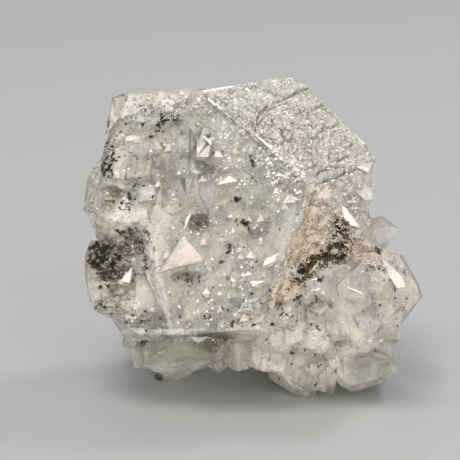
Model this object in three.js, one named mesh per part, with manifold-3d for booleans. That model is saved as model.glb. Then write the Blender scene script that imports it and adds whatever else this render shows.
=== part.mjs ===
// A hand-sized quartz cluster, in millimetres: one large tabular crystal seen nearly down its c axis, with
// an etched side face, growth hillocks on its front, and a fan of smaller crystals grown round and under it.
// Everything has grown together, so the whole cluster is one solid.
//
// It is modelled as it grew: x to the right, y away from the front, z up. It is then leaned back, set on the
// ground and moved so that the origin is at the middle of its base.
import * as THREE from "three";
import { mergeVertices } from "three/addons/utils/BufferGeometryUtils.js";
import { ConvexGeometry } from "three/addons/geometries/ConvexGeometry.js";
import Module from "manifold-3d";

const wasm = await Module();
wasm.setup();

// ---- Driving dimensions -----------------------------------------------------------------------------------

const v = (x, y, z) => new THREE.Vector3(x, y, z);
const radians = THREE.MathUtils.degToRad;

const LEAN = 15; // degrees that the specimen leans back as it rests
const FLOOR = -31.4; // height of the ground below the middle of the specimen, before it leans back
const RHOMB_TILT = 51.8; // degrees from a quartz crystal's c axis to the normal of a point face
const BLOCK = 130; // side of the raw block that each crystal is cut from
const MAIN_FRONT = v(-0.1, -0.965, 0.24).normalize(); // the way the large crystal's front looks

const RIDGE_STEP = 0.7; // how far the stained ridge lies behind the large crystal's front
const CRUST_RISE = 0.15; // how far the middles of the crust's grains lie in front of the ridge
const CRUST_GRAIN = { least: 1.6, spread: 3.6 }; // across the grains of the crust
const GRAIN_CORNERS = 11; // points that a grain is the hull of

const PARALLEL_ROOT = 8; // how deep the small crystals parallel to the large one reach
const PARALLEL_SPREAD = 0.12; // how far their axes stray
const PARALLEL_ROLL = -8; // the turn that they share with the large crystal

// The crowd of small crystals on the left: where it grows, how far its tips stand below the large crystal's
// front at the edge of that crystal, and how fast they fall away from there, above and below the middle.
const CROWD = { x: [-27.5, -5], z: [-19.5, 27], count: 130, edge: -11, below: [1.2, 0.6], fall: [0.12, 0.2] };

const HILLOCK_FACE = v(-0.14, -0.85, 0.5).normalize(); // all growth hillocks turn one face the same way
const HILLOCK_RISE = 0.12; // how far a hillock's highest edge stands clear of the face it grows on
const HILLOCK_ROOT = 2.5; // how deep a hillock reaches behind its face
const HILLOCK_FLARE = 0.35; // how much wider a hillock is at its root, as a part of its width
const HILLOCK_COUNT = 64; // the small hillocks scattered over the large crystal's front

// ---- Tools ------------------------------------------------------------------------------------------------

// The same seed gives the same numbers, each from 0 to 1.
function seeded(seed) {
  let state = seed;
  return () => {
    state = (state + 0x6d2b79f5) | 0;
    let t = Math.imul(state ^ (state >>> 15), 1 | state);
    t = (t + Math.imul(t ^ (t >>> 7), 61 | t)) ^ t;
    return ((t ^ (t >>> 14)) >>> 0) / 4294967296;
  };
}

// A three.js geometry as a solid that can be joined and cut.
function solidOf(geometry) {
  const bare = new THREE.BufferGeometry();
  bare.setAttribute("position", geometry.getAttribute("position"));
  if (geometry.index) bare.setIndex(geometry.index);
  const merged = mergeVertices(bare, 1e-4);
  return new wasm.Manifold(
    new wasm.Mesh({
      numProp: 3,
      vertProperties: merged.getAttribute("position").array,
      triVerts: new Uint32Array(merged.index.array),
    }),
  );
}

// A block cut by flat faces. Each face is [outward normal, a point on it].
function cutBlock(faces) {
  let block = solidOf(new THREE.BoxGeometry(BLOCK, BLOCK, BLOCK));
  for (const [normal, point] of faces) {
    const n = normal.clone().normalize();
    block = block.trimByPlane([-n.x, -n.y, -n.z], -n.dot(point));
  }
  return block;
}

// One quartz crystal: six prism faces at girth from the line from root to tip, and six point faces at the
// tip. Each prism face stands a little in or out, by uneven, and each point face may be set back, by set.
function crystal({ root, tip, girth, roll = 0, uneven = 0.22, set = 0.5, tilt = RHOMB_TILT, seed = 1 }) {
  const random = seeded(seed);
  const from = v(...root);
  const to = v(...tip);
  const axis = to.clone().sub(from).normalize();
  const side = v(0, 0, 1).cross(axis);
  const across = (side.length() > 0.1 ? side : v(1, 0, 0).cross(axis)).normalize();
  const along = axis.clone().cross(across);
  const faces = [[axis.clone().negate(), from]];
  for (let i = 0; i < 6; i++) {
    const turn = radians(roll + 60 * i);
    const out = across.clone().multiplyScalar(Math.cos(turn)).addScaledVector(along, Math.sin(turn));
    const reach = girth * (1 + uneven * (random() - 0.5));
    faces.push([out, from.clone().addScaledVector(out, reach)]);
    const point = out.clone().multiplyScalar(Math.sin(radians(tilt)));
    point.addScaledVector(axis, Math.cos(radians(tilt)));
    const step = girth * set * (i % 2 ? 0.1 : 1) * random();
    faces.push([point, to.clone().addScaledVector(axis, -step)]);
  }
  return cutBlock(faces);
}

// A mass with flat sides, from its outline as seen from the front, clockwise or not, as [x, z] corners. Its
// front is one flat face, its sides draw in by draft towards the back, and its front rim may be bevelled.
function slab({ outline, front, back, draft = 0.12, bevel = 0 }) {
  const middle = v(0, 0, 0);
  outline.forEach(([x, z]) => middle.add(v(x / outline.length, 0, z / outline.length)));
  const normal = v(...front.normal).normalize();
  const point = v(...front.point);
  const faces = [[normal, point], [v(0, 1, 0), v(0, back, 0)]];
  outline.forEach(([x, z], i) => {
    const [nextX, nextZ] = outline[(i + 1) % outline.length];
    const side = v(nextZ - z, 0, x - nextX).normalize();
    if (side.dot(v(x, 0, z).sub(middle)) < 0) side.negate();
    const edge = v((x + nextX) / 2, 0, (z + nextZ) / 2);
    edge.y = point.y - (normal.x * (edge.x - point.x) + normal.z * (edge.z - point.z)) / normal.y;
    faces.push([side.clone().add(v(0, draft, 0)), edge]);
    if (bevel) faces.push([side.clone().add(normal), edge.clone().addScaledVector(side, -bevel)]);
  });
  return cutBlock(faces);
}

// The point at [x, z] on a flat face, raised clear of the face by rise.
function onFace({ normal, point }, x, z, rise = 0) {
  const n = v(...normal).normalize();
  const p = v(...point);
  const y = p.y - (n.x * (x - p.x) + n.z * (z - p.z)) / n.y;
  return v(x, y, z).addScaledVector(n, rise);
}

// A plate grown on a flat face: rise is how far it stands out of it, or is sunk in it when below zero, and
// lean turns its front by that much in x and z.
function plate({ face, outline, rise, lean = [0, 0], back = 6, bevel = 0.4, draft = 0.25 }) {
  const x = outline.reduce((sum, corner) => sum + corner[0], 0) / outline.length;
  const z = outline.reduce((sum, corner) => sum + corner[1], 0) / outline.length;
  const normal = v(...face.normal).normalize().add(v(lean[0], 0, lean[1])).toArray();
  const front = { normal, point: onFace(face, x, z, rise).toArray() };
  return slab({ outline, front, back, bevel, draft });
}

// A small angular grain: the hull of points spread over an ellipsoid.
function grain({ at, size, seed }) {
  const random = seeded(seed);
  const points = Array.from({ length: GRAIN_CORNERS }, () => {
    const p = v(random() - 0.5, random() - 0.5, random() - 0.5).normalize();
    return p.multiplyScalar(size / 2).multiply(v(1, 0.75 + 0.4 * random(), 0.8)).add(at);
  });
  return solidOf(new ConvexGeometry(points));
}

// ---- The large tabular crystal ----------------------------------------------------------------------------

const MAIN_FACE = { normal: MAIN_FRONT.toArray(), point: [-2, -15, 2] };
const ETCHED_FACE = { normal: [0.423, -0.598, 0.68], point: [-5.6, -8.3, 27.4] };
const mainCrystal = cutBlock([
  [MAIN_FRONT, v(...MAIN_FACE.point)],
  [v(...ETCHED_FACE.normal), v(...ETCHED_FACE.point)],
  [v(0.723, -0.683, 0.101), v(29.6, 1, 13.7)],
  [v(0.7, 0.15, 0.7), v(20.4, 6, 23.8)],
  [v(-0.289, 0.1, 0.953), v(-5.6, -8.3, 27.4)],
  [v(0.99, 0.1, -0.14), v(29.6, 1, 13.7)],
  [v(0.864, -0.457, -0.21), v(6.4, -20.4, -16.4)],
  [v(0, -0.25, -0.97), v(-5, -19.3, -19.3)],
  [v(-0.978, -0.206, -0.02), v(-16, -16.3, -9)],
  [v(-0.87, -0.35, 0.36), v(-11, -12, 14.4)],
  [v(-0.895, -0.263, -0.361), v(-16, -16.3, -9)],
  [v(0.1, 0.97, -0.2), v(0, 13, 0)],
]);

// ---- Massive quartz and plates on the left ----------------------------------------------------------------

const leftBodies = [
  {
    outline: [[-24.2, 26.4], [-4, 28], [-4, -2], [-26, -1], [-27.4, 4], [-26.8, 11], [-25, 17]],
    rise: -2.2,
    lean: [-0.12, 0.04],
    bevel: 1.4,
  },
  {
    outline: [
      [-27.6, -1.6], [-28.8, -5], [-28.8, -9], [-28, -13.2],
      [-26, -16.4], [-19, -19], [-4, -20], [-4, -2],
    ],
    rise: -6,
    lean: [-0.1, -0.1],
    bevel: 1.6,
  },
  {
    outline: [[-25, 16], [-26.8, 13.6], [-28.8, 10.4], [-29.4, 5], [-27.2, 0], [-22, -1], [-20, 14]],
    rise: -5.2,
    lean: [-0.3, 0],
    bevel: 2,
  },
];

const leftPlates = [
  { outline: [[-23.8, 26.4], [-20.4, 27.2], [-22, 21.8], [-24.6, 18.4]], rise: -2.2, lean: [-0.5, 0.2] },
  {
    outline: [[-20.4, 27.2], [-5.6, 28], [-7, 22], [-14, 20.4], [-22, 21.8]],
    rise: -0.8,
    lean: [-0.02, 0.14],
  },
  {
    outline: [[-23, 16.4], [-14.4, 18], [-13, 16], [-16.4, 10.8], [-23.6, 9.6]],
    rise: -0.6,
    lean: [-0.16, 0.06],
  },
  {
    outline: [[-27, 5.6], [-21, 5], [-16, 9.4], [-9, 8], [-6.6, 3.6], [-8, -1], [-16, -2.4], [-26.4, -1.4]],
    rise: -1,
    lean: [-0.12, 0.02],
    bevel: 1.3,
  },
  {
    outline: [[-28.4, -9.6], [-22, -10], [-16, -12], [-19, -16], [-26, -16]],
    rise: -3.6,
    lean: [-0.2, 0.12],
  },
  {
    outline: [[-23, -17], [-16, -14.6], [-11, -19.2], [-13, -21.2], [-20, -21.6]],
    rise: -2.4,
    lean: [-0.1, -0.3],
  },
];

// ---- Plates of the etched face ----------------------------------------------------------------------------

const etchedPlates = [
  {
    outline: [[-3, 26.6], [6.4, 29.6], [12, 29], [14, 27], [7, 24], [4.6, 20.4]],
    rise: 0.25,
    lean: [0.02, 0.05],
  },
  {
    outline: [[7, 24], [15.2, 27.6], [18.4, 24.8], [14, 22.6], [11, 21], [5.6, 19.8]],
    rise: 0.5,
    lean: [-0.03, 0.02],
  },
  {
    outline: [[14, 22.6], [19, 25], [21, 23], [20, 20.4], [12.4, 18], [11.6, 20.4]],
    rise: 0.3,
    lean: [0.05, 0],
  },
  { outline: [[12.4, 20], [17, 20.4], [18, 18], [15.6, 16], [12, 17]], rise: 0.75, lean: [-0.04, 0.05] },
  { outline: [[18.4, 18.6], [23, 20], [25, 16], [22, 14.4], [19, 15]], rise: 0.5, lean: [0.04, -0.04] },
  { outline: [[15.6, 16], [19, 17], [22, 13], [19.6, 11.6], [16, 13]], rise: 0.3, lean: [0, 0.05] },
  {
    outline: [[22.6, 19.6], [24.4, 19.4], [29.4, 14], [27.6, 11], [24, 13]],
    rise: 0.25,
    lean: [0.05, 0.02],
  },
  { outline: [[7, 18], [12, 16], [16, 11.6], [15, 9.4]], rise: 0.5, lean: [-0.06, -0.02] },
  {
    outline: [[-4, 26.6], [4.4, 20.2], [8.6, 16.8], [7.6, 16], [-4.6, 25.4]],
    rise: 0.5,
    lean: [-0.05, -0.05],
  },
];

// ---- The stained ridge between the large crystal and the lower right clump --------------------------------

const RIDGE_FACE = { normal: [0.616, -0.785, -0.054], point: [15, -13.6, 6] };

const ridgeMass = cutBlock([
  [v(...RIDGE_FACE.normal), v(...RIDGE_FACE.point)],
  [MAIN_FRONT, v(...MAIN_FACE.point).addScaledVector(MAIN_FRONT, -RIDGE_STEP)],
  [v(0.6, -0.25, 0.75), v(15.2, -13, 8.6)],
  [v(0.97, -0.05, 0.24), v(30, -4, -6)],
  [v(0, -0.2, -1), v(8, -18, -18)],
  [v(0, 1, 0), v(0, 4, 0)],
  [v(-1, 0, 0), v(4, 0, 0)],
]);

// Grains of the crust on the ridge: patches of four [x, z] corners, with how many grains each holds.
const ridgePatches = [
  { corners: [[14.6, 9], [22, 4], [14, -11], [7.4, -16.4]], count: 66 },
  { corners: [[20, 5], [29.6, -4.4], [28, -6.8], [16, -6]], count: 36 },
];
function ridgeCrust() {
  const random = seeded(31);
  return ridgePatches.flatMap(({ corners: [a, b, c, d], count }) =>
    Array.from({ length: count }, () => {
      const s = random();
      const t = random();
      const between = (i) => (a[i] * (1 - s) + b[i] * s) * (1 - t) + (d[i] * (1 - s) + c[i] * s) * t;
      const at = onFace(RIDGE_FACE, between(0), between(1), CRUST_RISE);
      const size = CRUST_GRAIN.least + CRUST_GRAIN.spread * random() ** 2;
      return grain({ at, size, seed: Math.floor(1e6 * random()) });
    }),
  );
}

// ---- Masses of the lower right clump ----------------------------------------------------------------------

const clump = [
  {
    outline: [[21.4, -30.6], [24, -32], [30.6, -30.2], [33.2, -28], [31.4, -22], [22, -21], [18, -25]],
    front: { normal: [0.15, -0.93, -0.15], point: [26, -8.5, -26] },
    back: 8,
    bevel: 1.2,
  },
  {
    outline: [[30.4, -3.8], [35.6, -5.2], [37.4, -10.6], [38.8, -12.9], [33.4, -18.6], [26, -20], [24, -5]],
    front: { normal: [0.5, -0.85, 0.1], point: [33, -7, -11] },
    back: 8,
    bevel: 0.4,
  },
];

// ---- Masses along the bottom ------------------------------------------------------------------------------

const UNDER_FACE = { normal: [-0.12, -0.85, -0.5], point: [-8, -10.5, -22] };
const underside = [
  {
    outline: [
      [-17, -21.6], [-8, -19], [2, -18], [-1.8, -26],
      [-6, -27.6], [-11.6, -29], [-15.2, -28], [-18.4, -26],
    ],
    front: UNDER_FACE,
    back: 10,
    bevel: 0.6,
  },
];

// ---- Crystals grown round it ------------------------------------------------------------------------------

const grown = [
  // Left rim.
  { tip: [-29.6, -3, 4], root: [-8, 8, 6], girth: 6.2, roll: 12, set: 0.1 },
  { tip: [-29.8, -2, -8], root: [-6, 8, -5], girth: 5, roll: 20 },
  // Stepped crystals at the lower left.
  { tip: [-24.6, -10, -17], root: [-4, 6, -8], girth: 4.8, roll: 5 },
  { tip: [-22, -8, -24], root: [-2, 8, -10], girth: 4.6, roll: 20 },
  { tip: [-19.5, -9, -27.2], root: [-2, 6, -10], girth: 3.4, roll: 8 },
  { tip: [-14.6, 4.5, -32.6], root: [-4, 10, -12], girth: 4.6, roll: 0, set: 0.05 },
  // Underside.
  { tip: [-3.2, -1, -29.4], root: [0, 6, -12], girth: 3.2, roll: 3 },
  { tip: [1.4, -9, -28.4], root: [4, 6, -12], girth: 3.8, roll: 25 },
  { tip: [6, -12, -28.6], root: [7, 6, -12], girth: 4.6, roll: 8 },
  { tip: [10.4, -9, -29.6], root: [8, 6, -12], girth: 3.2, roll: 16 },
  { tip: [15.6, -6, -35], root: [11, 6, -10], girth: 5.6, roll: 3, set: 0.2 },
  { tip: [20, -9, -32.4], root: [13, 6, -12], girth: 4.4, roll: 22 },
  // Lower right clump.
  { tip: [27.6, -21, -13], root: [24.4, 5, -10], girth: 6, roll: 14, tilt: 38 },
  { tip: [28.2, -19.4, -17.4], root: [24, 5, -12], girth: 5.6, roll: 20, tilt: 34 },
  { tip: [11.6, -21, -18.5], root: [8, 8, -6], girth: 5, roll: 12 },
  { tip: [18, -20, -13], root: [12, 8, -5], girth: 5.6, roll: 25, tilt: 42 },
  { tip: [17.5, -17, -24], root: [10, 8, -8], girth: 5.4, roll: 6 },
  { tip: [9.4, -19.6, -23.4], root: [6, 8, -8], girth: 3.6, roll: 30 },
  { tip: [22.6, -18.6, -20], root: [14, 8, -8], girth: 3.6, roll: 40 },
  // Behind, on the right.
  { tip: [35.6, 14, 0.6], root: [16, 8, -4], girth: 3, roll: 4 },
  // Two slim crystals lying on the front.
  { tip: [-9.2, -9.7, 21.4], root: [-8, -11.2, 5], girth: 1.9, roll: 14 },
  { tip: [-5, -10.2, 20.6], root: [-5.8, -11.6, 14.2], girth: 1.5, roll: 0 },
];

// ---- Crystals on the back ---------------------------------------------------------------------------------

const backCrystals = [
  { tip: [-16, 25, 14], root: [-6, 2, 4], girth: 6.4, roll: 8 },
  { tip: [-2, 28, 5], root: [0, 2, 0], girth: 7.4, roll: 20 },
  { tip: [14, 24, 12], root: [6, 2, 4], girth: 6, roll: 2 },
  { tip: [22, 22, -6], root: [8, 2, -3], girth: 6.4, roll: 26 },
  { tip: [-22, 20, -6], root: [-6, 2, -3], girth: 5.6, roll: 14 },
  { tip: [-9, 25, -14], root: [-2, 2, -6], girth: 6, roll: 6 },
  { tip: [7, 26, -15], root: [2, 2, -6], girth: 6.6, roll: 33 },
  { tip: [-15.6, 20, -28.6], root: [-4, 2, -8], girth: 5.2, roll: 18, set: 0.05 },
  { tip: [24, 18, -29.4], root: [8, 2, -8], girth: 5.6, roll: 9, set: 0.05 },
  { tip: [4, 19.5, -27.8], root: [4, 2, -8], girth: 4.8, roll: 40, set: 0.05 },
  { tip: [4, 20, 22], root: [2, 2, 8], girth: 5, roll: 12 },
];

// ---- Small crystals that grew side by side with the large one ---------------------------------------------

// Low crystals that share the large crystal's axis: [x, z, girth, rise above its front, tilt of their faces].
const sideBySide = [
  [-3.4, 18, 3, 0.7, 30], [3, 11.5, 2.6, 0.5, 24], [0.4, -9.2, 3, 0.6, 26], [-10.6, -13, 2.6, 0.6, 30],
  [-1.6, 4.4, 2.2, 0.5, 30], [-15, 24.6, 2.6, 0.4, 40], [-9.6, 25, 2.2, 0.6, 45], [-12.4, 12.6, 2.8, 1.2, 35],
];

// True where a crystal of this girth at [x, z] keeps inside the outline and clear of the large crystal.
function fitsCrowd(x, z, girth) {
  const leftEdge = -26.5 + 0.12 * Math.abs(z - 2) + 0.7 * Math.max(0, -12 - z);
  const rightEdge = -15 + 0.42 * Math.max(0, z);
  return x - girth > leftEdge && x < rightEdge && z + girth < 27;
}

function parallelCrystals() {
  const random = seeded(77);
  const crowd = Array.from({ length: CROWD.count }, () => {
    const x = CROWD.x[0] + (CROWD.x[1] - CROWD.x[0]) * random();
    const z = CROWD.z[0] + (CROWD.z[1] - CROWD.z[0]) * random();
    const half = z > 0 ? 0 : 1;
    const rise = 1.3 * random() - CROWD.below[half] - CROWD.fall[half] * Math.max(0, CROWD.edge - x);
    return [x, z, 1.2 + 2.6 * random() ** 1.5, rise, 14 + 34 * random()];
  });
  const kept = crowd.filter(([x, z, girth]) => fitsCrowd(x, z, girth));
  return [...sideBySide, ...kept].map(([x, z, girth, rise, tilt], i) => {
    const tip = onFace(MAIN_FACE, x, z, rise);
    const stray = v(random() - 0.5, 0, random() - 0.5).multiplyScalar(PARALLEL_SPREAD);
    const root = tip.clone().addScaledVector(MAIN_FRONT.clone().add(stray).normalize(), -PARALLEL_ROOT);
    const roll = PARALLEL_ROLL + 10 * random();
    const shape = { girth, roll, tilt, uneven: 0.7, set: 0.16, seed: 200 + i };
    return crystal({ root: root.toArray(), tip: tip.toArray(), ...shape });
  });
}

// ---- Growth hillocks --------------------------------------------------------------------------------------

// A small wedge whose visible face is the triangle of [x, z] corners, all at or in front of the face.
function hillock(face, corners) {
  const [x0, z0] = corners[0];
  const flat = ([x, z]) => -(HILLOCK_FACE.x * (x - x0) + HILLOCK_FACE.z * (z - z0)) / HILLOCK_FACE.y;
  const depth = Math.min(...corners.map((corner) => onFace(face, ...corner).y - flat(corner)));
  const front = corners.map((corner) => v(corner[0], depth - HILLOCK_RISE + flat(corner), corner[1]));
  const middle = v(0, 0, 0).add(front[0]).add(front[1]).add(front[2]).divideScalar(3);
  middle.y = Math.max(...front.map((p) => p.y)) + HILLOCK_ROOT;
  const rear = front.map((p) => v(p.x, middle.y, p.z).lerp(middle, -HILLOCK_FLARE));
  return solidOf(new ConvexGeometry([...front, ...rear]));
}

const hillocks = [
  [[-9.2, -1.2], [-13.4, -8], [-5.2, -6]],
  [[-0.4, 10.9], [-2.8, 9.1], [1.6, 9.8]],
  [[-2.5, 15.8], [-3.7, 14.5], [-1.2, 14.5]],
  [[1, 16.1], [0.3, 14.9], [1.8, 14.9]],
  [[11.7, 7], [10.7, 5.5], [13.3, 5.7]],
  [[9.8, -4.5], [6.7, -7.2], [8.1, -6.7]],
  [[3.6, -8.1], [1.6, -9.8], [2.4, -9.7]],
  [[1, -8.7], [0.2, -10.9], [1.2, -10.7]],
  [[4.1, -10.2], [7.1, -10.1], [4.6, -11.3]],
  [[-4.8, -11.5], [-5.6, -12.9], [-3.8, -12.7]],
  [[4.1, -4.3], [3.4, -5.5], [5, -5.3]],
  [[6, -1.7], [5.3, -2.8], [6.5, -2.6]],
  [[0.1, 3.1], [-0.4, 2.3], [0.5, 2.3]],
];

const LEFT_SHELF = { normal: MAIN_FACE.normal, point: onFace(MAIN_FACE, -20, -9, -1.4).toArray() };
const otherHillocks = [
  { face: LEFT_SHELF, corners: [[-19.6, -7.4], [-21.8, -10.2], [-20, -10.6]] },
  { face: UNDER_FACE, corners: [[-2, -23.8], [-3.2, -25.6], [-1.8, -24.8]] },
  { face: UNDER_FACE, corners: [[-13.2, -23.9], [-15, -25], [-12.6, -24.4]] },
  { face: RIDGE_FACE, corners: [[22.7, 4.2], [24, 0.6], [25.6, 0.6]] },
];

function scatteredHillocks() {
  const random = seeded(5);
  const made = [];
  while (made.length < HILLOCK_COUNT) {
    const x = -15 + 29 * random();
    const z = -17 + 42 * random();
    const size = 0.5 + 1.3 * random() ** 2;
    if (0.87 * x + 0.68 * (z - 9) > 12 || 0.94 * x - 0.33 * z > 9.5) continue;
    const left = [x - 0.55 * size, z - 0.45 * size];
    const right = [x + 0.5 * size, z - 0.3 * size];
    made.push(hillock(MAIN_FACE, [[x, z + 0.6 * size], left, right]));
  }
  return made;
}

// ---- Pits -------------------------------------------------------------------------------------------------

const pits = [
  { x: -6.2, z: 1.4, size: 4.6 },
  { x: -8.6, z: -9.4, size: 4.4 },
  { x: -16.8, z: -17.4, size: 5 },
  { x: -22, z: 7.4, size: 3.6 },
];

// ---- The finished solid -----------------------------------------------------------------------------------

const parts = [mainCrystal, ridgeMass, ...clump.map(slab), ...underside.map(slab)];
parts.push(...leftBodies.map((one) => plate({ face: MAIN_FACE, back: 12, draft: 0.12, ...one })));
parts.push(...leftPlates.map((one) => plate({ face: MAIN_FACE, ...one })));
parts.push(...etchedPlates.map((one) => plate({ face: ETCHED_FACE, back: 10, draft: 0.05, ...one })));
[...grown, ...backCrystals].forEach((shape, i) => parts.push(crystal({ ...shape, seed: 11 + i })));
parts.push(...parallelCrystals());
parts.push(...hillocks.map((corners) => hillock(MAIN_FACE, corners)));
parts.push(...otherHillocks.map(({ face, corners }) => hillock(face, corners)));
parts.push(...scatteredHillocks());
parts.push(...ridgeCrust());

let cluster = parts.reduce((all, one) => all.add(one));
pits.forEach(({ x, z, size }, i) => {
  cluster = cluster.subtract(grain({ at: onFace(MAIN_FACE, x, z, 0.12 * size), size, seed: 900 + i }));
});
const [whole] = cluster.decompose().sort((a, b) => b.volume() - a.volume()); // without crumbs from the cuts
const leaned = whole.rotate([-LEAN, 0, 0]);
const resting = leaned.trimByPlane([0, 0, 1], FLOOR * Math.cos(radians(LEAN)));
const box = resting.boundingBox();
const middle = [(box.min[0] + box.max[0]) / 2, (box.min[1] + box.max[1]) / 2, box.min[2]];
const finished = resting.translate(middle.map((value) => -value));

function geometryOf(solid) {
  const mesh = solid.getMesh();
  const geometry = new THREE.BufferGeometry();
  geometry.setAttribute("position", new THREE.BufferAttribute(mesh.vertProperties, 3));
  geometry.setIndex(new THREE.BufferAttribute(mesh.triVerts, 1));
  return geometry;
}

const quartz = new THREE.Mesh(
  geometryOf(finished),
  new THREE.MeshStandardMaterial({ color: 0xc9c4b8, roughness: 0.25, metalness: 0 }),
);
quartz.name = "quartz_cluster";

const specimen = new THREE.Group();
specimen.add(quartz);

export default specimen;
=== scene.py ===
import math
import random

import bpy
import numpy as np
from mathutils import Euler, Matrix, Vector, noise
from mathutils.bvhtree import BVHTree


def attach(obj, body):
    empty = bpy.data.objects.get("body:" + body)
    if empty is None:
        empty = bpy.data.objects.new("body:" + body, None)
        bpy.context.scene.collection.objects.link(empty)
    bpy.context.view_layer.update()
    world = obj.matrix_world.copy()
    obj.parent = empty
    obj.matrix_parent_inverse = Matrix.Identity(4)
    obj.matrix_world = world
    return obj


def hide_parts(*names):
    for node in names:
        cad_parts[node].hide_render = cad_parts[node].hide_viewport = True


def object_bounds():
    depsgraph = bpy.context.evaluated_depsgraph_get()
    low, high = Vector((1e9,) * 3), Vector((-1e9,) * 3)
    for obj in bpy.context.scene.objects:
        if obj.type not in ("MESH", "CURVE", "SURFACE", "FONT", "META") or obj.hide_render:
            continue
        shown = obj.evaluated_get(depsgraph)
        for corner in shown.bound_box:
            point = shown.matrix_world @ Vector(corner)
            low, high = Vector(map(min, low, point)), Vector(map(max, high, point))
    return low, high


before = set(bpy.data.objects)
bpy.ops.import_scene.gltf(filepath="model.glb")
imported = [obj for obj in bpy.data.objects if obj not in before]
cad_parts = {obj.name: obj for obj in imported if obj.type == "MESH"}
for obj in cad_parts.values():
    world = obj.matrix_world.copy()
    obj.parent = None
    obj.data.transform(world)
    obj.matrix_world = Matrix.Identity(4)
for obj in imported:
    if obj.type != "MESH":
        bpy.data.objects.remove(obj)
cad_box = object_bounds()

# ---- The quartz body ----------------------------------------------------------------------------------------
# One cluster of quartz crystals that have grown together. Sizes are in millimetres in the specimen's own frame:
# x to the right, y away from the front, z up, before it leans back by LEAN and is set down at SEAT.
LEAN = math.radians(15)
SEAT = Vector((-4.417, -0.409, 30.330))
MM = 0.001
SET_DOWN = Matrix.Scale(MM, 4) @ Matrix.Translation(SEAT) @ Matrix.Rotation(-LEAN, 4, "X")
TAKE_UP = SET_DOWN.inverted()
EYE = Vector((0, -400, 0))

ETCHED_FACE = (Vector((0.423, -0.598, 0.68)).normalized(), Vector((-5.6, -8.3, 27.4)))
RIGHT_FACE = (Vector((0.723, -0.683, 0.101)).normalized(), Vector((29.6, 1, 13.7)))
RIDGE_FACE = (Vector((0.616, -0.785, -0.054)).normalized(), Vector((15, -13.6, 6)))
GLINT = Vector((-0.14, -0.85, 0.5)).normalized()


def pick_only(piece):
    bpy.ops.object.select_all(action="DESELECT")
    piece.select_set(True)
    bpy.context.view_layer.objects.active = piece


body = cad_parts["quartz_cluster"].copy()
body.data = body.data.copy()
body.name = "quartz"
body.parent = None
body.matrix_world = Matrix.Identity(4)
for key in list(body.keys()):
    del body[key]
bpy.context.scene.collection.objects.link(body)
pick_only(body)
bpy.ops.object.mode_set(mode="EDIT")
bpy.ops.mesh.select_all(action="SELECT")
bpy.ops.mesh.remove_doubles(threshold=1e-6)
bpy.ops.object.mode_set(mode="OBJECT")
quartz = bpy.data.materials.new("quartz")
frosted = bpy.data.materials.new("etched_quartz")
stained = bpy.data.materials.new("iron_stained_quartz")
clean = bpy.data.materials.new("clean_facet")
body.data.materials.clear()
for finish in (quartz, frosted, stained, clean):
    body.data.materials.append(finish)


def grow_together(piece, more, operation="UNION"):
    """Joins more to the piece in one closed solid, or cuts it out of it, and takes the separate one away."""
    pick_only(piece)
    join = piece.modifiers.new("join", "BOOLEAN")
    join.operation = operation
    join.object = more
    join.solver = "MANIFOLD"
    join.material_mode = "TRANSFER"
    bpy.ops.object.modifier_apply(modifier="join")
    bpy.data.objects.remove(more, do_unlink=True)


def surface_of(piece):
    """The piece's faces in the specimen's own frame."""
    corners = [TAKE_UP @ v.co for v in piece.data.vertices]
    return BVHTree.FromPolygons(corners, [tuple(p.vertices) for p in piece.data.polygons])


def seen(surface, x, z):
    """The point and the outward normal of the surface that EYE sees at [x, z]."""
    point, normal, _, _ = surface.ray_cast(EYE, Vector((x, -EYE.y, z)).normalized())
    return point, normal


def as_seen(at):
    """The place [x, z] at which EYE sees a point."""
    scale = -EYE.y / (at.y - EYE.y)
    return at.x * scale, at.z * scale


def on_plane(face, x, z):
    """The point of a flat face that EYE sees at [x, z]."""
    normal, point = face
    ray = Vector((x, -EYE.y, z))
    return EYE + ray * ((point - EYE).dot(normal) / ray.dot(normal))


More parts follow.
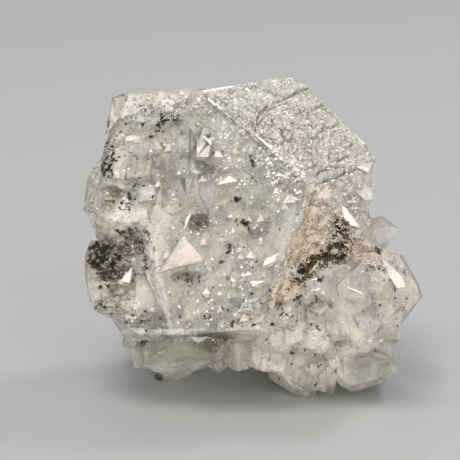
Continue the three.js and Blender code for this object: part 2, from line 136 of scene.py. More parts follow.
# ---- The etched side faces ----------------------------------------------------------------------------------
# Quartz again: a long slow attack has left the faces on the upper right in rounded, sutured lobes with a fine
# silvery grain. Each face is a grid laid on the crystal's flat face, raised lobe by lobe and grown into it.
SUTURES = [
    [(-3.2, 26.4), (2, 22.2), (4.8, 20), (8.8, 17)],
    [(4.8, 20.2), (5.2, 21.6), (6.2, 23.4), (7.6, 24.8), (10, 25.4), (11.4, 26), (13.4, 27), (15.6, 28.2)],
    [(5, 21), (7.4, 22.4), (9, 23), (11, 23.2), (12.2, 22), (12.4, 20.6)],
    [(12.2, 22), (13.4, 22.6), (15.4, 23.5), (17.4, 24.2), (19.4, 24), (20.6, 22.8)],
    [(10, 19.4), (11.8, 20), (12.6, 20.6), (15.2, 20.3), (17.4, 18.9), (18.8, 19.7), (21.4, 20.6)],
    [(11.8, 19.8), (12.2, 17.6), (13.6, 16), (15.5, 16.6), (17, 18.1)],
    [(17.4, 18.8), (16, 17), (15.5, 14.8), (17.4, 13), (19.4, 12.8), (21.7, 13.6), (21.5, 16.2)],
    [(21.5, 16.2), (22.6, 15.6), (24, 16.4), (23.6, 17.6), (22.4, 18.6), (20.2, 19.5)],
    [(17.2, 11), (19.4, 12.1), (21.8, 12.5), (24, 11.1), (25.6, 9.8)],
    [(21.7, 13.6), (23.4, 14.4), (25.2, 13.4), (26.8, 13.8)],
    [(9, 23), (8.4, 20.8), (10, 19.4), (10.6, 17.2)],
    [(14.4, 22.8), (15.8, 21.4), (16.6, 20)],
    [(-0.6, 27.6), (3.4, 26.2), (6.2, 23.4)],
    [(2.6, 28.4), (7, 27.6), (11.4, 26)],
    [(6.2, 23.4), (8.8, 24), (11.6, 24.6), (13.6, 24.2), (15.4, 23.5)],
    [(17.4, 24.2), (17, 22.4), (18.6, 21.2), (18.8, 19.7)],
    [(19.4, 12.8), (19.2, 14.6), (20.4, 16), (20.2, 19.5)],
    [(8.8, 17), (10.6, 17.2), (12.2, 17.6)],
    [(13.6, 16), (12.4, 14.6), (13.2, 12.6), (15.6, 12), (17.4, 13)],
]
LOBES = [
    (0.5, 24), (4.5, 27.5), (9.5, 29.3), (14, 28), (7.2, 24.6), (11.4, 26.2), (16.4, 25.4), (9.4, 21.4),
    (14.2, 22.6), (19.2, 23.2), (5.2, 19.6), (12.2, 18.6), (17.4, 19.8), (22.4, 19.4), (14.8, 14.6),
    (19.8, 15.8), (24.6, 16.2), (18.6, 11.6), (23.2, 12.2), (27.4, 14.2), (-3.6, 26.2), (8.4, 16.4),
    (11.6, 12.8), (15.2, 9.8), (1.6, 21.8),
]


def from_line(line, x, z):
    """How far [x, z] is from a line of straight legs."""
    least = 1e9
    for (x0, z0), (x1, z1) in zip(line, line[1:]):
        along = ((x - x0) * (x1 - x0) + (z - z0) * (z1 - z0)) / ((x1 - x0) ** 2 + (z1 - z0) ** 2)
        along = min(1, max(0, along))
        least = min(least, math.hypot(x - x0 - along * (x1 - x0), z - z0 - along * (z1 - z0)))
    return least


def inset(outline, x, z):
    """How far [x, z] lies inside an outline; below zero outside it."""
    inside = False
    for (x0, z0), (x1, z1) in zip(outline, outline[1:] + outline[:1]):
        if (z0 > z) != (z1 > z) and x < (x1 - x0) * (z - z0) / (z1 - z0) + x0:
            inside = not inside
    least = from_line(outline + outline[:1], x, z)
    return least if inside else -least


def smooth(low, high, value):
    t = min(1, max(0, (value - low) / (high - low)))
    return t * t * (3 - 2 * t)


def lay_skin(name, face, outline, step, relief, finish, depth=1.5):
    """A slab on a flat face, its top raised by relief(x, z, inset) millimetres."""
    normal = face[0]
    left = min(c[0] for c in outline)
    right = max(c[0] for c in outline)
    low = min(c[1] for c in outline)
    high = max(c[1] for c in outline)
    across = math.ceil((right - left) / step)
    up = math.ceil((high - low) / step)
    bpy.ops.object.select_all(action="DESELECT")
    bpy.ops.mesh.primitive_grid_add(x_subdivisions=across, y_subdivisions=up, size=2)
    slab = bpy.context.object
    slab.name = name
    for v in slab.data.vertices:
        v.co.x = left + (v.co.x + 1) / 2 * (right - left) + step * 0.25 * math.sin(91 * v.co.x + 37 * v.co.y)
        v.co.y = low + (v.co.y + 1) / 2 * (high - low) + step * 0.25 * math.sin(53 * v.co.x - 71 * v.co.y)
    depths = [inset(outline, v.co.x, v.co.y) for v in slab.data.vertices]
    bpy.context.tool_settings.mesh_select_mode = (False, False, True)
    for p in slab.data.polygons:
        p.select = min(depths[i] for i in p.vertices) < 0
    bpy.ops.object.mode_set(mode="EDIT")
    bpy.ops.mesh.delete(type="FACE")
    bpy.ops.mesh.select_all(action="SELECT")
    bpy.ops.mesh.extrude_region_move(TRANSFORM_OT_translate={"value": (0, 0, -1)})
    bpy.ops.mesh.select_all(action="SELECT")
    bpy.ops.mesh.quads_convert_to_tris(quad_method="SHORTEST_DIAGONAL")
    bpy.ops.object.mode_set(mode="OBJECT")
    for v in slab.data.vertices:
        x, z = v.co.x, v.co.y
        at = on_plane(face, x, z)
        rise = relief(x, z, inset(outline, x, z)) if v.co.z > -0.5 else -depth
        v.co = SET_DOWN @ (at + normal * rise)
    bpy.ops.object.mode_set(mode="EDIT")
    bpy.ops.mesh.select_all(action="SELECT")
    bpy.ops.mesh.normals_make_consistent(inside=False)
    bpy.ops.object.mode_set(mode="OBJECT")
    slab.data.materials.append(finish)
    return slab


def suture_gap(x, z):
    """How far [x, z] is from the nearest suture, each of which wanders a little."""
    across = noise.noise(Vector((x, z, 0)) * 0.6) * 0.5 + noise.noise(Vector((x, z, 4)) * 1.7) * 0.2
    up = noise.noise(Vector((x, z, 30)) * 0.6) * 0.5 + noise.noise(Vector((x, z, 34)) * 1.7) * 0.2
    return min(from_line(line, x + across, z + up) for line in SUTURES)


def lobed(x, z, inside):
    """Rounded lobes between sutures, with fine wrinkles that run down to the right."""
    suture = suture_gap(x, z)
    cut = 1 - smooth(0.03, 0.27, suture)
    lip = smooth(0.25, 0.5, suture) * (1 - smooth(0.5, 1.1, suture))
    gaps = sorted(math.hypot((x - a) * 0.9, (z - b) * 1.15) for a, b in LOBES)
    groove = smooth(0, 0.6, gaps[1] - gaps[0])
    dome = smooth(0, 3.4, gaps[1] - gaps[0])
    along = x * 0.62 - z * 0.78
    over = x * 0.78 + z * 0.62
    ribs = noise.noise(Vector((along * 0.3, over * 1.3, 7)))
    pits = noise.noise(Vector((along * 1.2, over * 2.2, 3)))
    fine = noise.noise(Vector((along * 3.6, over * 4.8, 11)))
    rise = 0.5 + 0.14 * groove + 0.12 * dome + 0.16 * ribs + 0.12 * pits + 0.115 * fine + 0.14 * lip - 0.5 * cut
    rise += 0.55 * (1 - smooth(1.8, 4.2, math.hypot(x - 15, z - 17.8)))
    rise += 0.32 * (1 - smooth(1.8, 3.8, math.hypot(x - 14.4, z - 25)))
    rise = max(rise, 0.1 + 0.07 * fine + 0.05 * pits)
    return rise * smooth(-0.1, 0.5, inside) - 0.05 * (1 - smooth(0, 0.3, inside))


def pitted(x, z, inside):
    """Low uneven ground with small pits."""
    broad = noise.noise(Vector((x * 0.5, z * 0.5, 17)))
    pits = noise.noise(Vector((x * 1.7, z * 1.3, 23)))
    fine = noise.noise(Vector((x * 4.1, z * 4.6, 29)))
    rise = 0.16 + 0.22 * broad + 0.16 * pits + 0.08 * fine
    return rise * smooth(-0.1, 0.8, inside) - 0.1 * (1 - smooth(0, 0.6, inside))


etched_outline = [
    (-5.6, 27.3), (8.4, 30.3), (12.8, 30.1), (15.1, 28.8), (20.3, 23.8), (29.4, 13.9), (15.2, 8.5), (10, 13.4),
]
grow_together(body, lay_skin("etched_face", ETCHED_FACE, etched_outline, 0.23, lobed, frosted))
right_outline = [(15.6, 8.3), (29.4, 13.6), (28.6, 6), (26.8, 0.2), (23, 1.6), (21.2, 6)]
grow_together(body, lay_skin("right_face", RIGHT_FACE, right_outline, 0.3, pitted, frosted))

# ---- Small crystals and growth facets -----------------------------------------------------------------------
# Thousands of small quartz crystals, flakes and facets that grew on the large ones, in one solid with them. Each
# kind is one simple shape, stood on the surface again and again at its own size and turn.


def small_crystal(chance, at, axis, girth, rise, root):
    """A six-sided prism with an uneven point: its corners and its faces."""
    turn = chance.uniform(0, math.tau)
    across = axis.orthogonal().normalized()
    along = axis.cross(across)
    stretch = chance.uniform(0.75, 1.3)
    corners = []
    for height in (-root, rise):
        for i in range(6):
            angle = turn + math.tau * i / 6
            out = across * math.cos(angle) * stretch + along * math.sin(angle)
            top = 0 if height < 0 else -girth * chance.uniform(0, 0.35)
            corners.append(at + out * girth + axis * (height + top))
    drift = across * chance.uniform(-0.3, 0.3) + along * chance.uniform(-0.3, 0.3)
    corners.append(at + axis * (rise + girth * chance.uniform(0.25, 0.8)) + drift * girth)
    faces = [(5, 4, 3, 2, 1, 0)]
    for i in range(6):
        j = (i + 1) % 6
        faces.append((i, j, 6 + j, 6 + i))
        faces.append((6 + i, 6 + j, 12))
    return corners, faces


def growth_plate(chance, at, normal, size, rise, root=0.6, tilt=0.05):
    """A low plate with five to seven straight edges."""
    across = normal.orthogonal().normalized()
    along = normal.cross(across)
    lean = across * chance.uniform(-tilt, tilt) + along * chance.uniform(-tilt, tilt)
    count = chance.randint(5, 7)
    turn = chance.uniform(0, math.tau)
    stretch = chance.uniform(0.5, 1)
    corners = []
    for height in (-root, rise):
        for i in range(count):
            angle = turn + math.tau * (i + 0.35 * math.sin(7 * i + turn)) / count
            out = across * math.cos(angle) + along * math.sin(angle) * stretch
            wide = size * (1 if height > 0 else 1.25)
            corners.append(at + out * wide + normal * (height + (lean.dot(out) * size if height > 0 else 0)))
    faces = [tuple(range(count))[::-1], tuple(range(count, 2 * count))]
    for i in range(count):
        j = (i + 1) % count
        faces.append((i, j, count + j, count + i))
    return corners, faces


def glint_facet(chance, at, normal, size, spread=0.04):
    """A triangular facet turned the way that all of them are turned."""
    way = (GLINT + Vector([chance.uniform(-spread, spread) for _ in range(3)])).normalized()
    up = (Vector((0, 0, 1)) - way * way.z).normalized()
    across = up.cross(way)
    slant = chance.uniform(-0.5, 0.5)
    top = up * size * chance.uniform(0.5, 0.8) + across * slant * size * 0.5
    left = -up * size * chance.uniform(0.2, 0.45) - across * size * chance.uniform(0.35, 0.6)
    right = -up * size * chance.uniform(0.2, 0.45) + across * size * chance.uniform(0.35, 0.6)
    lowest = min(corner.dot(normal) for corner in (top, left, right))
    shift = normal * (0.03 - lowest)
    corners = [at + corner + shift for corner in (top, left, right)]
    corners.append(at - normal * size * 1.1 - way * 0.2)
    return corners, [(0, 1, 2), (1, 0, 3), (2, 1, 3), (0, 2, 3)]


def in_sets_apart(shapes):
    """Sorts the shapes into sets in which no two shapes touch."""
    sets = []
    for shape in shapes:
        points = np.array([tuple(c) for c in shape[0]])
        middle = points.mean(axis=0)
        reach = np.linalg.norm(points - middle, axis=1).max()
        for held in sets:
            middles, reaches, members = held
            count = len(members)
            if count < len(reaches):
                gap = np.linalg.norm(middles[:count] - middle, axis=1) - reaches[:count]
                if count == 0 or gap.min() > reach:
                    middles[count] = middle
                    reaches[count] = reach
                    members.append(shape)
                    break
        else:
            middles, reaches = np.zeros((len(shapes), 3)), np.zeros(len(shapes))
            middles[0], reaches[0] = middle, reach
            sets.append((middles, reaches, [shape]))
    return [members for _, _, members in sets]


def stamped(name, shapes, finish):
    """One mesh of many closed shapes."""
    corners, faces = [], []
    for shape_corners, shape_faces in shapes:
        first = len(corners)
        corners += [SET_DOWN @ c for c in shape_corners]
        faces += [tuple(first + i for i in face) for face in shape_faces]
    mesh = bpy.data.meshes.new(name)
    mesh.from_pydata(corners, [], faces)
    mesh.materials.append(finish)
    piece = bpy.data.objects.new(name, mesh)
    bpy.context.scene.collection.objects.link(piece)
    return piece


first_surface = surface_of(body)
high_corner = Vector(cad_box[1])
MARGIN = 0.0006
GROUND_GAP = 0.0004
OUTLINE_GAP = 0.35


def keeps_inside(shape):
    """True where a shape stays inside the box, clear of the ground, and inside the outline that EYE sees."""
    for corner in shape[0]:
        world = SET_DOWN @ corner
        if world.z < GROUND_GAP or world.z > high_corner.z + MARGIN:
            return False
        if abs(world.x) > high_corner.x + MARGIN or abs(world.y) > high_corner.y + MARGIN:
            return False
        x, z = as_seen(corner)
        draw = 1 - OUTLINE_GAP / max(1, math.hypot(x, z))
        if seen(first_surface, x * draw, z * draw)[0] is None:
            return False
    return True


def grow_all(shapes, finish):
    for members in in_sets_apart([shape for shape in shapes if keeps_inside(shape)]):
        grow_together(body, stamped("growth", members, finish))


surface = surface_of(body)
chance = random.Random(5)

# The larger facets of the front, each given by its corners as EYE sees them: first those with a milky skin.
MILKY_FACETS = [
    [(-9.2, -1.2), (-13.4, -8), (-5.2, -6)],
    [(-6.6, 18.4), (-3.6, 18.4), (-4.4, 14.6), (-6.6, 14.6)],
    [(-6, 19.9), (-3.6, 17.4), (-3.8, 16.9), (-6.2, 19.3)],
    [(-5.1, 20.5), (-3, 18.2), (-3.2, 17.8), (-5.3, 20.1)],
    [(30.4, -5.8), (32.8, -7.6), (34.6, -9.6), (35, -11.4), (33.4, -11.6), (31.8, -9.2)],
]
# Those with a clean, bright skin.
CLEAN_FACETS = [
    [(-0.2, 10.8), (-2.8, 9), (1.6, 9.8)],
    [(-2.6, 15.8), (-3.6, 14.6), (-1.2, 14.6)],
    [(11.6, 7), (10.6, 5.4), (13.2, 5.6)],
    [(-19.6, -7.4), (-21.8, -10.2), (-20, -10.6)],
    [(9.7, -4.6), (7, -5.8), (6.6, -7.3), (8.7, -6.4)],
    [(4, -10.2), (7, -10.2), (4.6, -11.4)],
    [(-4.8, -11.6), (-5.6, -12.8), (-3.8, -12.8)],
    [(3.6, -8.2), (2.6, -9.4), (4.4, -8.8)],
    [(-2.2, -23.9), (-3.2, -25.4), (-1.9, -24.7)],
    [(-14.8, -24.5), (-12.6, -23.9), (-14, -24.9)],
    [(4.2, -4.2), (3.4, -4.8), (4.6, -4.9)],
    [(0.2, 3.4), (-0.5, 2.6), (0.6, 2.5)],
    [(22.3, 5), (23.2, 4.4), (25.7, 0.7), (24.2, 0.9), (22.7, 2.6)],
    [(4.6, 19.5), (8.6, 16.5), (8.2, 16.1), (5.1, 18.9)],
    [(-7.7, 3.5), (-8.3, 2), (-9.2, 0), (-8.8, 2.4)],
    [(23.5, -11.3), (26.6, -12.6), (26.6, -12.9), (23.5, -11.6)],
    [(15.6, -10.2), (17.6, -9.4), (17.4, -9.9)],
    [(16, -12.2), (18, -11.6), (17.8, -12.1)],
    [(2.6, -8.4), (3, -9.4), (2.2, -9.2)],
    [(0.3, -9.4), (1.2, -10.4), (0.2, -10.2)],
    [(-4.6, -15.8), (-5.2, -16.6), (-4.4, -16.4)],
    [(2.6, -15.2), (1.2, -16.6), (2, -16.2)],
    [(6.2, -1.4), (5.6, -2.1), (6.5, -2.1)],
    [(4.2, -4.6), (2.9, -5.4), (4.4, -5.6)],
    [(0.6, 0.6), (0.2, -0.6), (0.9, -0.4)],
    [(0.5, -3.6), (0.2, -4.6), (0.7, -4.9)],
    [(9.8, 7), (9.3, 5.6), (9.9, 5.8)],
]


def scattered(patch, count):
    """Points of the surface that EYE sees in an oval patch (x, z, half width, half height)."""
    x, z, wide, high = patch
    found = []
    while len(found) < count:
        a, b = chance.uniform(-1, 1), chance.uniform(-1, 1)
        if a * a + b * b > 1:
            continue
        if any(inset(outline, x + a * wide, z + b * high) > -0.4 for outline in MILKY_FACETS + CLEAN_FACETS):
            found.append(None)
            continue
        point, normal = seen(surface, x + a * wide, z + b * high)
        found.append((point, normal) if point else None)
    return [spot for spot in found if spot]


def tousled(normal, spread):
    return (normal + Vector([chance.uniform(-spread, spread) for _ in range(3)])).normalized()


# Hollows between the crystals: rough lens-shaped pits, wider than they are deep.
def hollow(x, z, wide, high, deep, turn=0.0):
    at, normal = seen(surface, x, z)
    across = Vector((math.cos(turn), 0, math.sin(turn)))
    across = (across - normal * across.dot(normal)).normalized()
    along = normal.cross(across)
    rings, sides = 5, 14
    corners = [at - normal * deep]
    for ring in range(1, rings + 1):
        for k in range(sides):
            angle = math.tau * (k + 0.5 * (ring % 2)) / sides
            part = ring / rings
            rough = chance.uniform(0.82, 1.15)
            out = across * math.cos(angle) * wide * part * rough + along * math.sin(angle) * high * part * rough
            sink = -deep * (1 - part**2) * chance.uniform(0.75, 1.2) + 0.35 * part**4
            corners.append(at + out + normal * sink)
    corners.append(at + normal * 1.2)
    faces = [(0, 1 + (k + 1) % sides, 1 + k) for k in range(sides)]
    for ring in range(rings - 1):
        first = 1 + ring * sides
        for k in range(sides):
            n = (k + 1) % sides
            if ring % 2 == 0:
                faces.append((first + k, first + n, first + sides + k))
                faces.append((first + n, first + sides + n, first + sides + k))
            else:
                faces.append((first + k, first + n, first + sides + n))
                faces.append((first + k, first + sides + n, first + sides + k))
    last = 1 + (rings - 1) * sides
    faces += [(last + k, last + (k + 1) % sides, len(corners) - 1) for k in range(sides)]
    return corners, faces


hollows = [
    hollow(-6.3, 1.6, 2.4, 2.1, 1.2),
    hollow(-9, -9.4, 3.4, 1.2, 0.8),
    hollow(-24.2, 7.4, 3.6, 1.9, 1.6, -0.1),
    hollow(-17.2, -18.2, 3.6, 1.6, 1.1, 0.35),
    hollow(-19, -1.8, 2.6, 2.4, 0.9),
    hollow(-4.6, 12, 1.8, 1.5, 0.7),
    hollow(-24.6, -15, 3.4, 0.7, 0.8, -0.2),
    hollow(9.4, -14.4, 2.6, 0.8, 0.8, 0.6),
    hollow(-15.4, 22.6, 2.2, 1.1, 0.5, 0.2),
]
for members in in_sets_apart(hollows):
    grow_together(body, stamped("hollow", members, quartz), "DIFFERENCE")
surface = surface_of(body)


# Larger plates and crystals of the left side and of the lower right clump, by their corners as EYE sees them.
def raised_plate(outline, rise, lean=(0, 0), bevel=0.25, root=2.0):
    """A block with a flat bevelled front over an outline, rise above the ground there."""
    rays = [Vector((x, -EYE.y, z)) for x, z in outline]
    grounds = [ground for ground in (seen(surface, x, z) for x, z in outline) if ground[0]]
    normal = sum((n for _, n in grounds), Vector()).normalized()
    normal = (normal + Vector((lean[0], 0, lean[1]))).normalized()
    offset = sum((at - EYE).dot(normal) for at, _ in grounds) / len(grounds) + rise
    fronts = [EYE + ray * (offset / ray.dot(normal)) for ray in rays]
    middle = sum(fronts, Vector()) / len(fronts)
    tops = [c + (middle - c).normalized() * bevel for c in fronts]
    rims = [c - normal * bevel * 0.8 for c in fronts]
    backs = [middle + (c - middle) * 1.08 - normal * root for c in fronts]
    count = len(fronts)
    faces = [tuple(range(count)), tuple(range(2 * count, 3 * count))[::-1]]
    for first in (0, count):
        for i in range(count):
            j = (i + 1) % count
            faces.append((first + j, first + i, first + count + i, first + count + j))
    if (fronts[1] - fronts[0]).cross(fronts[2] - fronts[0]).dot(normal) < 0:
        faces = [face[::-1] for face in faces]
    return tops + rims + backs, faces


for blocks in (
    (
        ([(-22.5, 15.7), (-19, 17), (-15.7, 18), (-14, 16.2), (-15.7, 14.7), (-16.7, 11), (-21.7, 10), (-22.8, 13.4)],
         0.7, (-0.16, 0.05)),
        ([(-15.4, 14.6), (-13.4, 15.8), (-10.8, 15), (-10.4, 7.6), (-15, 9.4), (-16, 11.6)], 0.5, (0.1, 0.05)),
        ([(-23.6, 26), (-20.8, 26.7), (-21, 23.2), (-23.4, 23)], 0.2, (-0.06, 0.06), 0.2, 0.8),
        ([(-21.2, 25.7), (-20, 27), (-18.4, 26.7), (-17.7, 25.7), (-18, 23), (-21.2, 22.7)], 0.35, (0.1, 0.06)),
        ([(-15, 25.7), (-11.4, 26.2), (-10.9, 23.9), (-13.4, 23.4)], 0.25, (0, 0.1)),
        ([(-10.4, 25), (-6.7, 25.4), (-6, 22.7), (-8.7, 21.4), (-10.7, 22.4)], 0.3, (0.12, 0.06)),
        ([(-26.2, 5), (-22.4, 5.7), (-16.7, 4.4), (-16.4, 1.7), (-21.7, 1.2), (-26, 2.4)], 0.5, (-0.06, 0.16)),
        ([(-18.8, 9), (-16.7, 10.2), (-15.2, 9), (-15, 5.9), (-18.4, 5.4)], 0.4, (-0.08, 0.1)),
        ([(-13.7, 7), (-10.4, 7.2), (-9, 4.4), (-11.4, 2.7), (-14, 4.2)], 0.25, (-0.05, 0)),
        ([(-6.4, 11.2), (-3.6, 9.4), (-3.2, 4.8), (-4.6, 4), (-6.2, 7)], 0.2, (0.1, 0.12)),
        ([(-28, -11.9), (-26, -11.9), (-21.7, -10.8), (-19.7, -10.6), (-17, -12.3), (-19, -14.2), (-23.3, -15.2),
          (-27.6, -14.9)], 0.5, (-0.06, 0.14)),
        ([(-17, -23), (-14.7, -21.9), (-7.4, -20.9), (-1.2, -19.9), (-1.6, -25), (-11.3, -27.8), (-17.2, -26.9)],
         0.35, (-0.03, -0.06)),
        ([(-20.4, -23.4), (-17.8, -23.4), (-17.9, -25.4), (-19.8, -24.8)], 0.3, (-0.1, 0.1)),
        ([(-6.4, -26.6), (-4.4, -25.8), (-0.9, -26.4), (-0.9, -28.2), (-2.6, -29), (-5.2, -28)], 0.4, (0, -0.1), 0.5),
        ([(0, -24.4), (2, -23.4), (3.4, -25), (3.2, -27.6), (1.4, -28.4), (0, -27.4)], 0.4, (0.05, -0.05), 0.6),
        ([(15.2, -15.4), (18.6, -14.8), (20.4, -16), (20.2, -18.4), (15.6, -18.8)], 0.35, (-0.05, 0.08)),
        ([(10.8, -18.6), (14.6, -19.2), (14.6, -22.2), (11, -23.2)], 0.3, (-0.1, 0.04)),
        ([(4, -22), (9.2, -21.6), (11.2, -26), (10.4, -28.8), (4.8, -28), (3.6, -25.2)], 0.4, (-0.08, 0), 0.7),
        ([(12.2, -28), (17.6, -26), (20.8, -28.4), (19, -32), (15.6, -32.6), (11.8, -30.4)], 0.4, (0, 0), 0.8),
        ([(15.4, -20.2), (19.6, -20.2), (20, -23.2), (16, -23.8)], 0.35, (0.08, 0.08), 0.4),
        ([(21.8, -25.4), (28, -24.6), (31.8, -25.4), (33, -28.4), (30.2, -30.8), (24, -31.8), (22, -30.4)],
         0.4, (0.05, 0.05), 1.0),
        ([(21, -8), (23.6, -6.9), (26.6, -7), (30.4, -8.4), (32.8, -10.8), (34, -13.4), (33.6, -16.6), (32.4, -19.4),
          (30.6, -22), (28, -23.4), (25.2, -22.8), (23.4, -19), (21.4, -14)], 1.1, (-0.05, 0.05), 1.6),
    ),
    (
        ([(23.2, -8.4), (26.2, -8.2), (27.6, -10.6), (27.5, -13.4), (25.4, -15.2), (22.4, -13.4), (21.9, -9.8)],
         0.2, (-0.15, 0.1), 0.15),
        ([(28.1, -9.2), (30.2, -9.6), (31.9, -12), (31.2, -16.2), (29.2, -17.2), (28, -14)], 0.15, (0.2, 0.04), 0.15),
        ([(25, -17.4), (27.6, -17.6), (30.4, -18.2), (29.6, -20.8), (27.6, -21.6), (26, -20.8)],
         0.1, (0, -0.08), 0.35),
    ),
    (
        ([(25.4, -14.8), (26.6, -13.8), (27.6, -14.2), (26.6, -16.6), (25.5, -16.4)], 0.1, (0.35, -0.2), 0.1),
    ),
):
    surface = surface_of(body)
    grow_all([raised_plate(*block) for block in blocks], quartz)
surface = surface_of(body)
filler_outline = [(-27, 1.2), (-24, 1.6), (-22, 0.4), (-22, -2.4), (-25, -3), (-27, -1.6)]
filler = raised_plate(filler_outline, 0.2, (-0.1, 0), 0.4, 3)
grow_together(body, stamped("left_filler", [filler], quartz))
for tip, root, girth, seed in (
    ((-9.2, -10.7, 21.4), (-9.4, -12.2, 10.4), 2.05, 3),
    ((-4.3, -11.3, 20.4), (-5.6, -12.8, 13.6), 1.6, 8),
    ((-12.6, -11.2, 16), (-12.2, -12.0, 6), 1.3, 9),
):
    chance.seed(seed)
    tip, root = Vector(tip), Vector(root)
    axis = (tip - root).normalized()
    shape = small_crystal(chance, root, axis, girth, (tip - root).length - girth, 0.5)
    grow_together(body, stamped("slim_crystal", [shape], quartz))
chance.seed(21)

# Low growth plates over the large crystal's front and the masses round it.
plates = []
for patch, count, size, rise in (
    ((2, 2, 14, 19), 14, (1.2, 3.6), (0.01, 0.05)),
    ((-17, 16, 9, 9), 8, (1.0, 2.4), (0.02, 0.1)),
    ((-20, -4, 8, 12), 12, (0.8, 2.4), (0.03, 0.2)),
    ((-10, -24, 10, 6), 5, (0.8, 2), (0.02, 0.08)),
    ((26, -15, 9, 11), 4, (1, 2.4), (0.02, 0.06)),
    ((12, -24, 10, 9), 8, (0.8, 2), (0.03, 0.12)),
):
    for at, normal in scattered(patch, count):
        plates.append(growth_plate(chance, at, normal, chance.uniform(*size), chance.uniform(*rise)))
grow_all(plates, quartz)

GROWTH_STEP = 1.1


# Rounded growth edges of the large crystal: bars along its left and lower rims and its right edge.
def growth_edge(points, radius, high):
    """A low, flat, uneven bar that follows the surface through [x, z] points."""
    grounds = []
    for (x0, z0), (x1, z1) in zip(points, points[1:]):
        steps = max(1, round(math.hypot(x1 - x0, z1 - z0) / GROWTH_STEP))
        for step in range(steps):
            t = step / steps
            x = x0 + (x1 - x0) * t + chance.gauss(0, 0.1)
            z = z0 + (z1 - z0) * t + chance.gauss(0, 0.1)
            grounds.append(seen(surface, x, z))
    grounds.append(seen(surface, *points[-1]))
    middles, outs = [], []
    for i in range(len(grounds)):
        near = grounds[max(i - 2, 0):i + 3]
        middles.append(sum((at for at, _ in near), Vector()) / len(near))
        outs.append(sum((normal for _, normal in near), Vector()).normalized())
    corners, faces = [], []
    sides = 10
    for i, middle in enumerate(middles):
        along = (middles[min(i + 1, len(middles) - 1)] - middles[max(i - 1, 0)]).normalized()
        side = along.cross(outs[i]).normalized()
        out = side.cross(along)
        wide = radius * (0.35 if i in (0, len(middles) - 1) else chance.uniform(0.75, 1.2))
        tall = high * chance.uniform(0.7, 1.2)
        for k in range(sides):
            angle = math.tau * k / sides
            corners.append(middle + side * math.cos(angle) * wide + out * (math.sin(angle) * tall - 0.05))
    for i in range(len(middles) - 1):
        for k in range(sides):
            n = (k + 1) % sides
            faces.append((i * sides + k, i * sides + n, (i + 1) * sides + n, (i + 1) * sides + k))
    faces.append(tuple(range(sides))[::-1])
    faces.append(tuple(range((len(middles) - 1) * sides, len(middles) * sides)))
    return corners, faces


surface = surface_of(body)
for points, radius, high in (
    ([(-16.6, 1.6), (-16.2, -4), (-15.6, -8), (-14.6, -12), (-13.2, -15.6), (-11.2, -18.8)], 0.85, 0.4),
    ([(-19, -19), (-15, -20), (-11, -20.9), (-6, -20.3), (-2, -19.7), (0.4, -19.3)], 0.7, 0.45),
    ([(14.9, 8), (13.7, 2.6), (12.2, -2.6), (10.5, -7.4), (8.8, -12), (6.8, -16)], 1.1, 0.22),
    ([(-26.4, 10.2), (-28.6, 7), (-28.8, 4.6), (-27.6, 2), (-26.4, 0.4)], 0.9, 0.6),
    ([(29.6, -5.8), (31.2, -7.2), (32.8, -8.8), (34, -10.4), (34.8, -12)], 0.5, 0.3),
):
    grow_together(body, stamped("growth_edge", [growth_edge(points, radius, high)], quartz))

# Flakes of the etched faces, each a little aslant.
surface = surface_of(body)
flakes = []
for patch, count in (((11, 21, 15, 9), 700), ((25, 7, 4, 8), 120)):
    for at, normal in scattered(patch, count):
        if normal.dot(ETCHED_FACE[0]) > 0.6 or normal.dot(RIGHT_FACE[0]) > 0.8:
            size = chance.uniform(0.15, 0.55)
            flakes.append(growth_plate(chance, at, normal, size, chance.uniform(0.03, 0.14), 0.3, 0.35))
grow_all(flakes, frosted)

# Facets that all look the same way, so that they flash together.
surface = surface_of(body)
facets = []
for patch, count, size in (
    ((2, 0, 14, 18), 40, (0.3, 0.8)),
    ((8, -10, 7, 6), 12, (0.4, 1.0)),
    ((-1.6, 12.6, 3, 3.4), 24, (0.3, 1.0)),
    ((11, 8.4, 3.4, 3), 30, (0.4, 1.1)),
    ((10.4, 12.8, 4, 3.6), 60, (0.3, 1.0)),
    ((14, 10.6, 2, 2), 20, (0.3, 1.0)),
    ((-9, 26, 6, 1.6), 26, (0.3, 0.9)),
    ((-17, 10, 9, 14), 24, (0.3, 0.8)),
    ((-12, -18, 10, 8), 20, (0.3, 0.8)),
    ((18, -22, 14, 9), 14, (0.3, 0.8)),
    ((2, 24, 9, 3), 30, (0.3, 0.7)),
    ((25, 9, 3.4, 6), 70, (0.25, 0.7)),
):
    for at, normal in scattered(patch, count):
        if normal.dot(GLINT) > 0.3:
            facets.append(glint_facet(chance, at, normal, chance.uniform(*size)))
grow_all(facets, clean)

